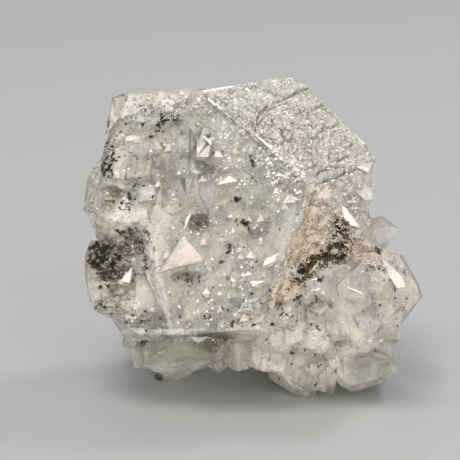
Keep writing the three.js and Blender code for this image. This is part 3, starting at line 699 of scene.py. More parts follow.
# Rough little crystals where the growth was crowded.
surface = surface_of(body)
crowd = []
for patch, count, size, rise in (
    ((-15, 22.5, 9, 4.5), 90, (0.15, 0.45), (0.01, 0.12)),
    ((-2, 25, 8, 3), 170, (0.15, 0.5), (0.01, 0.2)),
    ((0.4, 28.9, 8, 0.8), 90, (0.15, 0.45), (0.01, 0.15)),
    ((10, 12.5, 8, 5), 170, (0.15, 0.5), (0.01, 0.15)),
    ((-25.5, 10, 2.6, 12), 110, (0.2, 0.8), (0.03, 0.4)),
    ((-24, -7, 5, 6), 70, (0.2, 0.7), (0.03, 0.3)),
    ((-24, -14, 6, 2.4), 40, (0.25, 0.9), (0.05, 0.4)),
    ((-14, -20, 8, 3), 50, (0.25, 0.8), (0.03, 0.3)),
    ((-6, -3, 10, 6), 30, (0.2, 0.5), (0.01, 0.1)),
    ((4, -18, 12, 2), 70, (0.2, 0.6), (0.02, 0.25)),
    ((10, -15, 8, 3), 60, (0.25, 0.8), (0.03, 0.3)),
    ((12, -26, 10, 5), 14, (0.3, 0.8), (0.02, 0.15)),
    ((19, -22, 3, 4), 14, (0.25, 0.7), (0.02, 0.2)),
    ((34, -6, 4, 3), 40, (0.2, 0.7), (0.03, 0.3)),
):
    for at, normal in scattered(patch, count):
        girth = size[0] + (size[1] - size[0]) * chance.random() ** 2
        crowd.append(small_crystal(chance, at, tousled(normal, 0.45), girth, chance.uniform(*rise), girth))
grow_all(crowd, quartz)

# Tiny bright flakes, aslant every way.
surface = surface_of(body)
flakes = []
for patch, count in (
    ((1, 3, 14, 19), 110), ((-17, 18, 9, 9), 90), ((-20, -6, 8, 12), 90), ((-8, -23, 12, 5), 24),
    ((14, -22, 12, 9), 60), ((28, -14, 9, 10), 36),
):
    for at, normal in scattered(patch, count):
        size = chance.uniform(0.12, 0.4)
        flakes.append(growth_plate(chance, at, normal, size, chance.uniform(0.03, 0.1), 0.25, 0.4))
grow_all(flakes, clean)

# The larger facets of the front.
surface = surface_of(body)
named = []
for outline in MILKY_FACETS + CLEAN_FACETS:
    rays = [Vector((x, -EYE.y, z)) for x, z in outline]
    reach = []
    for (x, z), ray in zip(outline, rays):
        at, _ = seen(surface, x, z)
        reach.append((at - EYE).dot(GLINT))
    offset = max(reach) + 0.12
    corners = [EYE + ray * (offset / ray.dot(GLINT)) for ray in rays]
    middle = sum(corners, Vector()) / len(corners)
    wide = max((c - middle).length for c in corners)
    corners.append(middle - GLINT * wide * 0.9)
    count = len(rays)
    faces = [tuple(range(count))] + [((i + 1) % count, i, count) for i in range(count)]
    named.append((corners, faces))
grow_all(named[:len(MILKY_FACETS)], quartz)
grow_all(named[len(MILKY_FACETS):], clean)

# Small crystals round the sides, the back and the underside, on the faces that EYE doesn't see. A join leaves
# the faces in an order that isn't the same each time, so they are first put in the order of their places.
SIDE_CRYSTALS = 900
HIDDEN_DEPTH = 0.5
weights, places = [], []
for p in sorted(body.data.polygons, key=lambda p: tuple(round(c, 7) for c in p.center)):
    middle = TAKE_UP @ p.center
    normal = Vector([round(c, 5) for c in TAKE_UP.to_3x3() @ p.normal * MM]).normalized()
    if normal.dot((EYE - middle).normalized()) < 0.0 and p.center.z > 0.0012:
        weights.append(p.area)
        places.append((p, normal))
around = []
for p, normal in chance.choices(places, weights, k=SIDE_CRYSTALS):
    corners = sorted((TAKE_UP @ body.data.vertices[i].co for i in p.vertices), key=tuple)
    corners = (corners[0], corners[len(corners) // 2], corners[-1])
    a, b = sorted((chance.random(), chance.random()))
    at = corners[0] * a + corners[1] * (b - a) + corners[2] * (1 - b)
    girth = 0.4 + 2.0 * chance.random() ** 3
    rise = girth * chance.uniform(0.05, 0.7)
    shape = small_crystal(chance, at, tousled(normal, 0.5), girth, rise, girth)
    for corner in shape[0][6:]:
        met, _, _, far = first_surface.ray_cast(EYE, (corner - EYE).normalized())
        if met is None or far > (corner - EYE).length - HIDDEN_DEPTH:
            break
    else:
        around.append(shape)
grow_all(around, quartz)

ridge_outline = [
    (15.2, 9), (18, 9.8), (21.2, 7.6), (22.4, 4.4), (23, 2), (27.4, -1.8), (30.6, -4.6), (30.2, -7.4),
    (22.8, -6), (19.4, -6.6), (16, -10.4), (12.6, -13.4), (7.2, -17), (8.9, -11.4), (11.3, -4.6), (14.5, 2.2),
]
# The flat faces under the etched skins, and the ridge under its crust, take their own finishes. Each flat
# facet gets its own number, so that it can differ a little in shade from the next.
COMMON, ETCHED, STAINED = range(3)
shades = body.data.attributes.new("facet", "FLOAT", "FACE")
painted_glint_tints = body.data.attributes.new("flush", "FLOAT", "FACE")
for p in body.data.polygons:
    normal = (TAKE_UP.to_3x3() @ p.normal).normalized()
    middle = TAKE_UP @ p.center
    x, z = as_seen(middle)
    for (face_normal, on_face), outline in ((ETCHED_FACE, etched_outline), (RIGHT_FACE, right_outline)):
        if normal.dot(face_normal) > 0.9 and abs((middle - on_face).dot(face_normal)) < 1.6 and middle.z > 0:
            p.material_index = ETCHED
        if p.material_index == COMMON and normal.dot(face_normal) > 0.4 and inset(outline, x, z) > -0.4:
            p.material_index = ETCHED
    if normal.dot(RIDGE_FACE[0]) > 0.2 and abs((middle - RIDGE_FACE[1]).dot(RIDGE_FACE[0])) < 3:
        least = min(inset(ridge_outline, *as_seen(TAKE_UP @ body.data.vertices[i].co)) for i in p.vertices)
        if p.material_index == COMMON and inset(ridge_outline, x, z) > 0.25 and (p.area > MM * MM or least > -0.1):
            p.material_index = STAINED
    # Faces turned the way the facets flash get a painted pink tint, for the warm light that they reflect.
    painted_glint_tints.data[p.index].value = 1.0 if normal.dot(GLINT) > 0.9999 else 0.0
    key = normal * 9.7 + normal * (middle.dot(normal)) * 3.1
    shades.data[p.index].value = noise.cell(Vector((round(key.x, 1), round(key.y, 1), round(key.z, 1))) * 13.7)

# Painted shade: a mark that darkens the colour along the suture grooves of the etched face.
sutures = body.data.attributes.new("suture", "FLOAT", "POINT")
for v in body.data.vertices:
    at = TAKE_UP @ v.co
    if abs((at - ETCHED_FACE[1]).dot(ETCHED_FACE[0])) < 1.4:
        if inset(etched_outline, *as_seen(at)) > 0.1:
            sutures.data[v.index].value = 1 - smooth(0.04, 0.25, suture_gap(*as_seen(at)))


class Wire:
    """A shader socket. Arithmetic on it adds the Math nodes that it needs."""

    def __init__(self, socket):
        self.socket = socket

    @staticmethod
    def node(tree, kind, settings, sockets, output=0):
        made = tree.nodes.new(kind)
        for name, value in settings.items():
            if name == "stops":
                ramp = made.color_ramp
                while len(ramp.elements) < len(value):
                    ramp.elements.new(1.0)
                for element, (place, colour) in zip(ramp.elements, value):
                    element.position = place
                    element.color = colour
            else:
                setattr(made, name, value)
        for name, value in sockets.items():
            if isinstance(value, Wire):
                tree.links.new(value.socket, made.inputs[name])
            else:
                made.inputs[name].default_value = value
        return Wire(made.outputs[output]) if len(made.outputs) else None

    def also(self, kind, settings, sockets, output=0):
        return Wire.node(self.socket.id_data, kind, settings, sockets, output)

    def math(self, operation, *values):
        return self.also("ShaderNodeMath", {"operation": operation}, dict(enumerate(values)))

    def vector(self, operation, *values, output=0):
        return self.also("ShaderNodeVectorMath", {"operation": operation}, dict(enumerate(values)), output)

    def __add__(self, other):
        return self.math("ADD", self, other)

    def __radd__(self, other):
        return self.math("ADD", other, self)

    def __sub__(self, other):
        return self.math("SUBTRACT", self, other)

    def __rsub__(self, other):
        return self.math("SUBTRACT", other, self)

    def __mul__(self, other):
        return self.math("MULTIPLY", self, other)

    def __rmul__(self, other):
        return self.math("MULTIPLY", other, self)

    def rise(self, low, high, start=0.0, end=1.0):
        """From start where this is low to end where it is high, smoothly."""
        settings = {"interpolation_type": "SMOOTHSTEP"}
        return self.also("ShaderNodeMapRange", settings, {0: self, 1: low, 2: high, 3: start, 4: end})

    def tint(self, first, second):
        """The first colour where this is 0 and the second where it is 1."""
        return self.also("ShaderNodeMix", {"data_type": "RGBA"}, {0: self, 6: first, 7: second}, 2)


def rgb(red, green, blue):
    """A screen colour, 0 to 255, as the light values that shaders use."""
    return tuple((c / 255) ** 2.2 for c in (red, green, blue)) + (1.0,)


def open_tree(material):
    """Empties a material, and gives the place on the specimen in millimetres."""
    material.use_nodes = True
    tree = material.node_tree
    tree.nodes.clear()
    place = Wire.node(tree, "ShaderNodeTexCoord", {}, {}, 3)
    shift = -(Matrix.Rotation(LEAN, 3, "X") @ SEAT)
    return place.also("ShaderNodeMapping", {}, {0: place, 1: tuple(shift), 2: (LEAN, 0, 0), 3: (1 / MM,) * 3})


def clouds(spot, scale, detail=4.0, rough=0.5, distortion=0.0, output=0):
    sockets = {"Vector": spot, "Scale": scale, "Detail": detail, "Roughness": rough, "Distortion": distortion}
    return spot.also("ShaderNodeTexNoise", {}, sockets, output)


def cells(spot, scale, output=0):
    return spot.also("ShaderNodeTexVoronoi", {}, {"Vector": spot, "Scale": scale}, output)


def channel(colour, number):
    """One of the three values of a colour."""
    return colour.also("ShaderNodeSeparateColor", {}, {0: colour}, number)


def stored(spot, name):
    """A value that the mesh itself holds."""
    return spot.also("ShaderNodeAttribute", {"attribute_name": name}, {}, 2)


def stretched(spot, turn, scale, middle=(0, 0, 0)):
    """The place, for a texture that is turned about y and then stretched."""
    sockets = {0: spot, 1: middle, 2: (0, turn, 0), 3: scale}
    return spot.also("ShaderNodeMapping", {"vector_type": "TEXTURE"}, sockets)


def patch_of(spot, x, z, across, up, soft=0.35, turn=0.0, y=-12):
    """1 inside an oval on the front, round the place that EYE sees at [x, z]; 0 outside it."""
    near = 1 - y / EYE.y
    flat = stretched(spot, -turn, (across, 18, up), (x * near, y, z * near))
    return flat.vector("LENGTH", flat, output=1).rise(1 - soft, 1 + soft, 1, 0)


def most_of(spot, ovals):
    """The greatest of several patches, each given as its strength and then its oval."""
    most = None
    for strength, *oval in ovals:
        patch = patch_of(spot, *oval) * strength
        most = patch if most is None else patch.math("MAXIMUM", most, patch)
    return most


def threads(value, width):
    """1 along the thin lines where a noise passes through its middle value, and 0 away from them."""
    off = value - 0.5
    return off.math("ABSOLUTE", off).rise(0.0, width, 1, 0)


def glitter(spot, scale):
    """The height of small flat facets, each tilted its own way."""
    tilt = cells(spot, scale, 1)
    tilt = tilt.vector("SUBTRACT", tilt, (0.5, 0.5, 0.5))
    local = spot.vector("SUBTRACT", spot, cells(spot, scale, 2))
    return tilt.vector("DOT_PRODUCT", tilt, local, output=1)


def bumped(spot, strength, height):
    return spot.also("ShaderNodeBump", {}, {"Strength": strength, "Distance": MM, "Height": height})


def layered(colour, layers):
    """The colour with others laid over it in turn, each given as its share and its red, green and blue."""
    for share, *paint in layers:
        colour = share.tint(colour, rgb(*paint))
    return colour


def stone(spot, colour, roughness, bump, more=(), bend=1.544):
    """A shader that bends light as quartz does, unless another bend is given."""
    sockets = {"Base Color": colour, "Roughness": roughness, "IOR": bend, "Normal": bump}
    return spot.also("ShaderNodeBsdfPrincipled", {}, {**sockets, **dict(more)})


def show(spot, shader):
    spot.also("ShaderNodeOutputMaterial", {}, {"Surface": shader})


def show_mixed(spot, bump, share, milky, tint=(0.985, 0.98, 0.96, 1)):
    """Shows clear quartz with the given share of a milky kind in it."""
    clear = stone(spot, tint, 0.05, bump, {"Transmission Weight": 1.0})
    show(spot, spot.also("ShaderNodeMixShader", {}, {0: share, 1: clear, 2: milky}))


# The common quartz: clear to milky, with veils, veins, dust and black specks in it, and brown depths: dark inclusions
# on the left and painted shade in the hollows and recesses.
spot = open_tree(quartz)
warped = spot.vector("MULTIPLY_ADD", clouds(spot, 0.22, 3, 0.6, 0, 1), (7, 7, 7), spot)
warped = warped.vector("SUBTRACT", warped, (3.5, 3.5, 3.5))
facet = stored(spot, "facet")
milky_mass = patch_of(warped, 27, -13, 9, 9)
low_mass = patch_of(warped, 13, -24, 14, 8.5)
left_mass = patch_of(warped, -20, 6, 9, 24)
bottom_face = patch_of(warped, -9, -23, 9, 3.6)
far_crystal = patch_of(spot, 32.6, -0.8, 4.6, 4, 0.35, 0, 12)
brown = patch_of(spot, -3.2, -21.6, 4.8, 2, 0.5, 0.12)
rims = most_of(spot, [
    (1, -14.2, -9, 10.5, 0.75, 0.5, -1.34),
    (1, -10, -20, 11, 0.6, 0.5, 0.02),
    (0.35, 11, -4, 12.6, 1.2, 0.6, 1.22),
])
# The depths: dark brown inclusions in the dark zone on the left, and painted shade darkening the hollows, the ledge
# recess, the pit and the lens.
depths = most_of(warped, [
    (1, -24.6, -6.2, 4.4, 4.8),
    (1, -19.6, -2.6, 3.0, 2.8),
    (1, -23.4, 7.2, 3.4, 1.5),
    (0.7, -24.2, 15.6, 1.5, 4.0),
    (0.9, -6.4, 1.5, 2.5, 2.1),
    (0.7, -8.8, -9.3, 3.0, 1.2),
    (0.65, -16.8, -18, 3.2, 1.7),
    (0.6, -4.6, 12.4, 1.8, 1.7),
    (0.85, -3.6, -21.4, 3.8, 1.9),
    (0.5, 10.2, -14.4, 2.6, 1.2),
])
creamy = most_of(spot, [
    (1, -23, 24.8, 2.2, 2.4),
    (0.6, -28, -8, 0.9, 5),
    (0.8, -14, -28.6, 2.6, 1.8),
])
creamy = creamy.math("MAXIMUM", creamy, most_of(warped, [
    (0.8, -20.8, 3.2, 4.2, 1.5),
    (0.5, -20.6, 11, 2.6, 1.8),
    (0.5, -12, 25.6, 5, 1.2),
    (0.8, -22, -13.6, 6.6, 3),
]))
milk = clouds(spot, 0.2, 5, 0.5, 0.7).rise(0.36, 0.62, 0.34, 0.64)
milk = milk + clouds(spot, 0.8, 7, 0.68, 1.4).rise(0.52, 0.62, -0.03, 0.07) + (facet - 0.5) * 0.2
for mass, strength in (
    (left_mass, 0.06), (milky_mass, 0.14), (low_mass, 0.34), (rims, 0.25), (depths, 0.26), (creamy, 0.3),
    (brown, 0.2), (far_crystal, 0.2),
):
    milk = milk + mass * strength
veins = threads(clouds(spot, 0.9, 4, 0.6, 1.4), 0.02)
vein_field = clouds(spot, 0.35, 3, 0.5)
grain = clouds(spot, 3.6, 4, 0.75)
dusted = grain.rise(0.52, 0.64, 0, 0.42) * (1 - milky_mass * 0.6) * (1 - low_mass * 0.6)
streaks = clouds(stretched(spot, 0.35, (1.6, 1, 0.55)), 0.9, 7, 0.72, 0.8)
dirty = patch_of(warped, -16, 20, 11, 7, 0.5) * 0.7 + 0.15
rings = threads(clouds(spot, 0.9, 2, 0.4, 1.2), 0.05)
pepper = cells(spot, 2.2).rise(0.1, 0.16, 1, 0) * channel(cells(spot, 2.2, 1), 0).rise(0.55, 0.57)
speck = pepper.math("MAXIMUM", pepper, clouds(spot, 2.6, 3, 0.6).rise(0.69, 0.72))
green = clouds(spot, 0.09, 3, 0.5).rise(0.42, 0.62)
colour = layered(green.tint(rgb(232, 225, 213), rgb(216, 215, 201)), [
    (milky_mass, 240, 228, 217),
    (low_mass, 254, 245, 230),
    (clouds(spot, 1.7, 6, 0.7, 0.5).rise(0.44, 0.66, 0.0, 0.26), 176, 170, 156),
    (veins * vein_field.rise(0.5, 0.56) * 0.6, 112, 106, 92),
    (veins * vein_field.rise(0.44, 0.5, 1, 0) * 0.6, 255, 252, 246),
    (facet.rise(0, 1, 0, 0.12), 172, 165, 149),
    (dusted, 134, 128, 113),
    (grain.rise(0.38, 0.5, 0.6, 0), 255, 253, 248),
    (left_mass * 0.6, 252, 245, 231),
    (bottom_face.rise(0, 1, 0, 0.55), 170, 170, 146),
    (rims * 0.8, 255, 249, 242),
    (creamy * 0.7, 246, 238, 222),
    (patch_of(spot, -5, 7.6, 1.9, 3.6) * 0.7, 222, 226, 231),
    (patch_of(spot, -12.8, 11, 2.8, 3.8) * 0.6, 178, 167, 150),
    (far_crystal * 0.8, 232, 232, 228),
    # Painted reflection: a pink tint on the facets that flash, for the warm light they reflect.
    (stored(spot, "flush") * clouds(spot, 0.7, 5, 0.65).rise(0.38, 0.62, 0.6, 1), 238, 214, 200),
    (streaks.rise(0.4, 0.58, 0.6, 1) * brown * 0.9, 108, 99, 70),
    # Brown streaks over the depths: the dark inclusions, and painted shade in the hollows.
    (streaks.rise(0.4, 0.58, 0.45, 1) * depths * 0.95, 84, 71, 44),
    (clouds(spot, 0.8, 8, 0.75).rise(0.56, 0.74, 0, 0.45) * dirty, 150, 144, 128),
    (channel(cells(warped, 3.0, 1), 1).rise(0.95, 0.97, 0, 0.7), 255, 252, 246),
    (patch_of(warped, 26.4, -26.6, 4.4, 1.7, 0.6, 0.3) * 0.7, 168, 156, 156),
    (patch_of(warped, 26.6, -29.2, 3.6, 1.5, 0.4, 0.2) * rings * 0.8, 255, 252, 250),
    (speck * 0.9, 52, 48, 38),
])
relief = glitter(spot, 1.5) * 0.05 + clouds(spot, 0.9, 4, 0.6) * 0.05 + clouds(spot, 3.2, 3, 0.6) * 0.012
bump = bumped(spot, 0.6, relief)
inner_glow = {"Subsurface Weight": 0.5, "Subsurface Radius": (1.0, 0.95, 0.9), "Subsurface Scale": 0.0018}
share = spot.also("ShaderNodeClamp", {}, {0: milk + speck, 1: 0.06, 2: 0.97})
show_mixed(spot, bump, share, stone(spot, colour, 0.12, bump, inner_glow))

# The etched faces: silvery, wrinkled, with painted highlights on the wrinkles and edges and painted shade in the
# sutures.
spot = open_tree(frosted)
tone = clouds(spot, 0.5, 6, 0.65)
pale = most_of(spot, [(1, 26.4, 11.4, 2.4, 2.8, 0.5, 0, 0), (0.7, 3, 27.2, 9, 2.2, 0.6, 0, 0)])
# The wrinkles are raised in the bump, and painted white along their lines as painted highlights.
wrinkle = threads(clouds(stretched(spot, 0.9, (1.4, 0.8, 0.45)), 0.8, 4, 0.6, 0.6), 0.035)
# How sharply the surface bends: darker in the creases as painted shade, lighter on the raised edges as painted
# highlights.
edge = spot.also("ShaderNodeNewGeometry", {}, {}, 7)
colour = layered(tone.rise(0.35, 0.65).tint(rgb(172, 164, 154), rgb(214, 204, 193)), [
    (pale * 0.6, 250, 246, 238),
    # painted highlights along the wrinkles
    (wrinkle * 0.85, 255, 253, 248),
    (patch_of(spot, 15.2, 18.4, 2.8, 2.2, 0.3, 0, 0) * 0.5, 192, 186, 190),
    # painted shade in the suture grooves
    (stored(spot, "suture") * 0.75, 92, 84, 74),
    (edge.rise(0.42, 0.49, 0.85, 0), 104, 98, 90),
    (edge.rise(0.51, 0.57, 0, 0.9), 255, 253, 249),
])
bump = bumped(spot, 0.7, glitter(spot, 2.4) * 0.04 + clouds(spot, 3, 4, 0.6) * 0.015 + wrinkle * 0.03)
share = tone.rise(0.3, 0.7, 0.5, 0.76) + wrinkle * 0.15
show_mixed(spot, bump, share, stone(spot, colour, 0.07, bump), (0.985, 0.98, 0.97, 1))

# Clean growth facets, which flash.
spot = open_tree(clean)
bump = bumped(spot, 0.4, clouds(spot, 2.5, 3, 0.5) * 0.01)
milky = stone(spot, rgb(234, 224, 216), 0.08, bump, {"Specular IOR Level": 1.0})
show_mixed(spot, bump, clouds(spot, 1.2, 5, 0.6).rise(0.3, 0.7, 0.5, 0.75), milky)

# The ridge itself, stained by iron.
RUST = [
    (0.0, rgb(74, 58, 40)), (0.24, rgb(148, 122, 90)), (0.42, rgb(209, 183, 149)), (0.62, rgb(236, 217, 190)),
    (0.85, rgb(255, 251, 244)),
]
spot = open_tree(stained)
shade = clouds(stretched(spot, -1.01, (2.4, 1, 0.7)), 0.9, 8, 0.7).rise(0.3, 0.7) * 0.8 + 0.2
colour = shade.also("ShaderNodeValToRGB", {"stops": RUST}, {0: shade})
bump = bumped(spot, 0.9, clouds(spot, 1.6, 6, 0.7) * 0.5 + glitter(spot, 2.4) * 0.3)
show(spot, stone(spot, colour, 0.35, bump))

pick_only(body)
bpy.ops.object.shade_flat()
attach(body, "root")
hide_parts("quartz_cluster")

# ---- Dark mineral grains ------------------------------------------------------------------------------------
# Black and dark green flecks of a chlorite-like mineral, grown on and half into the quartz. They are joined
# angular grains: single specks, clusters, streaks and thin lines along the edges of the terraces.


def angular(chance, at, size):
    """An eight-cornered grain of uneven shape."""
    turn = Euler([chance.uniform(0, math.tau) for _ in range(3)]).to_matrix()
    stretch = Vector((1, chance.uniform(0.4, 0.9), chance.uniform(0.35, 0.9)))
    corners = []
    for x, y, z in ((1, 0, 0), (-1, 0, 0), (0, 1, 0), (0, -1, 0), (0, 0, 1), (0, 0, -1)):
        corner = Vector((x, y, z)) * chance.uniform(0.7, 1.2) + Vector([chance.uniform(-0.3, 0.3) for _ in range(3)])
        corners.append(at + turn @ (corner * stretch) * size * 0.5)
    faces = [(0, 2, 4), (2, 1, 4), (1, 3, 4), (3, 0, 4), (2, 0, 5), (1, 2, 5), (3, 1, 5), (0, 3, 5)]
    return corners, faces


def dark_finish(name, scale, limits, first, second, roughness, strength):
    """A dark, dull, grainy mineral that varies from the first colour to the second."""
    made = bpy.data.materials.new(name)
    spot = open_tree(made)
    colour = clouds(spot, scale, 5, 0.7).rise(*limits).tint(rgb(*first), rgb(*second))
    bump = bumped(spot, strength, clouds(spot, 6, 4, 0.7) * 0.2)
    show(spot, stone(spot, colour, roughness, bump, bend=1.5))
    return made


dark = dark_finish("dark_mineral", 1.5, (0.35, 0.68), (18, 15, 8), (80, 68, 40), 0.5, 0.6)

surface = surface_of(body)
chance = random.Random(12)
flecks = []


def fleck_chain(x, z, size, count, streak=False):
    """A small blot of grains that starts at [x, z], or a streak of them that slants down to the right."""
    heading = -0.3 if streak else chance.uniform(0, math.tau)
    for _ in range(count):
        at, normal = seen(surface, x, z)
        if at is None:
            return
        grain = size * chance.uniform(0.75, 1.6)
        if not any(inset(outline, x, z) > -0.15 for outline in MILKY_FACETS + CLEAN_FACETS):
            flecks.append(angular(chance, at + normal * grain * 0.12, grain))
        heading = chance.gauss(-0.3, 0.5) if streak else heading + chance.gauss(0, 1.5)
        pace = 0.7 if streak else 0.42
        x += math.cos(heading) * grain * pace
        z += math.sin(heading) * grain * pace


for patch, count, size, chain, *streak in (
    ((2, 2, 15, 20), 60, (0.18, 0.4), (1, 3)),
    ((-13, 22, 2.6, 1.4), 9, (0.3, 0.55), (3, 8)),
    ((-17, 21.5, 5, 4), 34, (0.2, 0.45), (1, 4)),
    ((3, 1.4, 1.6, 0.7), 8, (0.28, 0.45), (4, 9)),
    ((1.4, 6, 0.5, 0.4), 3, (0.35, 0.5), (3, 6)),
    ((-3, 15, 2.0, 1.5), 5, (0.2, 0.4), (1, 4)),
    ((8, 20, 4, 3), 14, (0.2, 0.45), (1, 5)),
    ((4.6, 14, 0.8, 0.6), 3, (0.3, 0.5), (3, 6)),
    ((-0.6, -4.2, 0.5, 0.5), 2, (0.35, 0.5), (3, 5)),
    ((0, -4, 3, 2), 8, (0.2, 0.35), (1, 3)),
    ((-24.4, 16, 1.4, 7), 44, (0.25, 0.6), (2, 8)),
    ((-21, 12, 4, 8), 40, (0.2, 0.4), (1, 5)),
    ((-20.6, 4.4, 1.6, 2), 8, (0.25, 0.5), (3, 8)),
    ((-25.4, -5.6, 2.8, 3.4), 56, (0.25, 0.6), (3, 11)),
    ((-26.6, -4.6, 1.4, 3), 30, (0.3, 0.65), (4, 12)),
    ((-24.2, -6.4, 3.8, 4), 90, (0.15, 0.35), (4, 12), True),
    ((-23, -8.6, 3.2, 1.8), 50, (0.15, 0.35), (4, 12), True),
    ((-18.6, -1.8, 2.8, 2.4), 44, (0.2, 0.5), (2, 9)),
    ((-16, -6, 1.6, 4), 16, (0.2, 0.45), (1, 6)),
    ((-12, 3, 6, 4), 26, (0.16, 0.36), (1, 4)),
    ((-6.4, 1.6, 2.2, 1.8), 24, (0.12, 0.26), (3, 8)),
    ((-9, -9.2, 3.2, 1.0), 22, (0.18, 0.36), (1, 5)),
    ((-18, -18, 3, 2.6), 22, (0.2, 0.45), (2, 7)),
    ((-22, -13.6, 5, 0.9), 8, (0.15, 0.35), (3, 8), True),
    ((-1, -17, 10, 2.4), 26, (0.18, 0.4), (1, 4)),
    ((-4, -17.6, 2, 0.5), 5, (0.25, 0.45), (2, 5)),
    ((12, -12, 5, 5), 24, (0.2, 0.5), (1, 7)),
    ((14, -24, 8, 7), 34, (0.18, 0.4), (1, 5)),
    ((30, -14, 5, 8), 22, (0.18, 0.36), (1, 4)),
    ((33.4, -9, 2, 3), 12, (0.25, 0.45), (2, 6)),
    ((26, -26, 6, 4), 14, (0.18, 0.36), (1, 4)),
    ((-16, 25, 8, 2), 24, (0.18, 0.4), (1, 4)),
):
    x, z, wide, high = patch
    for _ in range(count):
        angle, far = chance.uniform(0, math.tau), math.sqrt(chance.random())
        length = size[0] + (size[1] - size[0]) * chance.random() ** 2
        start = (x + wide * far * math.cos(angle), z + high * far * math.sin(angle))
        fleck_chain(*start, length, chance.randint(*chain), *streak)
for x, z, length, count in (
    (18.6, -9.4, 0.6, 9), (18.2, -10.2, 0.5, 6), (13.6, -13.6, 0.5, 8), (13.9, -14.4, 0.5, 5), (9.8, -15.4, 0.55, 5),
    (8.6, -19, 0.55, 6), (5, -19, 0.4, 9), (11.6, -17.2, 0.4, 4), (0.5, -19.4, 0.7, 5), (7.2, -22, 0.4, 3),
    (17.6, -19.2, 0.4, 8), (30.9, -8, 0.4, 5), (32.8, -11.4, 0.34, 9), (33, -13.6, 0.3, 8), (33.2, -17.8, 0.28, 5),
    (35.2, -13.8, 0.28, 6), (34.6, -15.8, 0.28, 5), (29.8, -15, 0.35, 4), (29.7, -16.8, 0.4, 3),
    (25.6, -18.8, 0.35, 3),
    (-0.2, -3.6, 0.7, 4), (-1.8, -6.5, 0.5, 5), (4.6, -7.6, 0.35, 4), (5.2, -6.4, 0.3, 5), (4.2, -12.8, 0.4, 4),
    (-5.4, -13.4, 0.3, 4), (-6, -10.2, 0.3, 8), (-12, -13, 0.3, 5), (-16.7, -7.6, 0.45, 9), (3.2, -10.4, 0.25, 4),
    (0.4, -8, 0.25, 3), (-3.4, -11.6, 0.25, 4), (6.8, -9.6, 0.25, 3), (-8.4, -12.6, 0.25, 4), (1.6, -15.4, 0.3, 3),
    (6.6, 4.2, 0.25, 4), (7.8, 2.2, 0.25, 3), (-0.6, 2.2, 0.25, 3), (4.4, 10.4, 0.3, 4), (7.4, 8.4, 0.25, 3),
    (12.4, -26.8, 0.4, 4), (16, -27, 0.4, 5), (18, -27, 0.4, 4), (17.4, -30.6, 0.35, 7), (21, -28.4, 0.35, 7),
    (12.6, -24.6, 0.35, 4), (-13.4, 21.8, 0.6, 9), (-14.6, 21, 0.5, 8), (-17, 21.4, 0.45, 5), (3, 1.4, 0.5, 12),
    (1.2, 1.6, 0.4, 8), (4.6, 14, 0.5, 8), (1.2, 5.8, 0.6, 9), (-0.4, -4.6, 0.6, 5), (12.6, 7.6, 0.35, 5),
    (-20.2, 7.4, 0.6, 8), (-19.4, 8.6, 0.5, 6), (-22.6, -0.2, 0.7, 9), (-15.4, 6.4, 0.4, 6), (-25.8, -11.4, 0.5, 9),
    (-24.4, -11, 0.5, 8), (-26.8, -15.6, 0.5, 8), (-25.4, -15.4, 0.45, 6), (-18, -23, 0.45, 8),
    (-16.6, -22.2, 0.5, 8),
):
    fleck_chain(x, z, length, count)
FLECK_STEP = 0.16
for (x0, z0), (x1, z1) in (
    ((-26.4, -11.8), (-23, -12.6)), ((-24.4, -11.4), (-20.4, -10.4)), ((-27.5, -15.6), (-24.4, -16)),
    ((-23.4, -16.6), (-22.4, -16.2)), ((-16.9, -6.6), (-16.7, -10.2)), ((-27.2, 4.4), (-26.2, 1.4)),
    ((-2, 25.3), (4.8, 19.9)), ((5, 19.8), (8.6, 16.8)), ((-6, 21.6), (-2.4, 19.4)), ((-20.8, 17.6), (-15.6, 18.6)),
    ((4.6, -19.2), (7.6, -18.2)), ((-14.6, -17), (-13.2, -19.2)), ((-26, 5.8), (-20, 5.2)),
):
    steps = round(math.hypot(x1 - x0, z1 - z0) / FLECK_STEP)
    for step in range(steps):
        x = x0 + (x1 - x0) * step / steps + chance.gauss(0, 0.05)
        z = z0 + (z1 - z0) * step / steps + chance.gauss(0, 0.05)
        at, normal = seen(surface, x, z)
        if at and noise.noise(Vector((x, z, 2)) * 1.1) > -0.15:
            flecks.append(angular(chance, at, chance.uniform(0.12, 0.34)))
specks = stamped("dark_specks", flecks, dark)
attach(specks, "root")

# ---- The stained crust and the moss along it ----------------------------------------------------------------
# A crust of small quartz grains on the ridge, stained orange and brown by iron, with a band of dark green
# mineral across it. Each is a joined mesh of angular grains set half into the ridge.
crust = bpy.data.materials.new("stained_crust")
spot = open_tree(crust)
streaks = clouds(stretched(spot, -1.01, (3.4, 1, 0.6)), 1.0, 6, 0.72)
pale = most_of(spot, [(0.6, 25, -0.6, 4.6, 3.6, 0.6), (1, 18.6, 5.6, 3.4, 4.2, 0.5)])
shade = streaks.rise(0.34, 0.66) * 0.62 + channel(cells(spot, 1.8, 1), 0) * 0.34 + 0.2 + pale * 0.26
colour = shade.also("ShaderNodeValToRGB", {"stops": RUST}, {0: shade})
colour = (pale * 0.3).tint(colour, rgb(240, 218, 206))
show(spot, stone(spot, colour, 0.14, bumped(spot, 0.6, clouds(spot, 5, 4, 0.7) * 0.2)))
CRUST_GRAINS = 5600
grains = []
while len(grains) < CRUST_GRAINS:
    x, z = chance.uniform(6, 30), chance.uniform(-17, 9.9)
    inside = inset(ridge_outline, x, z)
    if inside < 0.4 * chance.random() ** 2:
        continue
    at, normal = seen(surface, x, z)
    if at:
        grains.append(angular(chance, at, 0.2 + 0.45 * chance.random() ** 2))
crust_piece = stamped("stained_crust", grains, crust)
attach(crust_piece, "root")

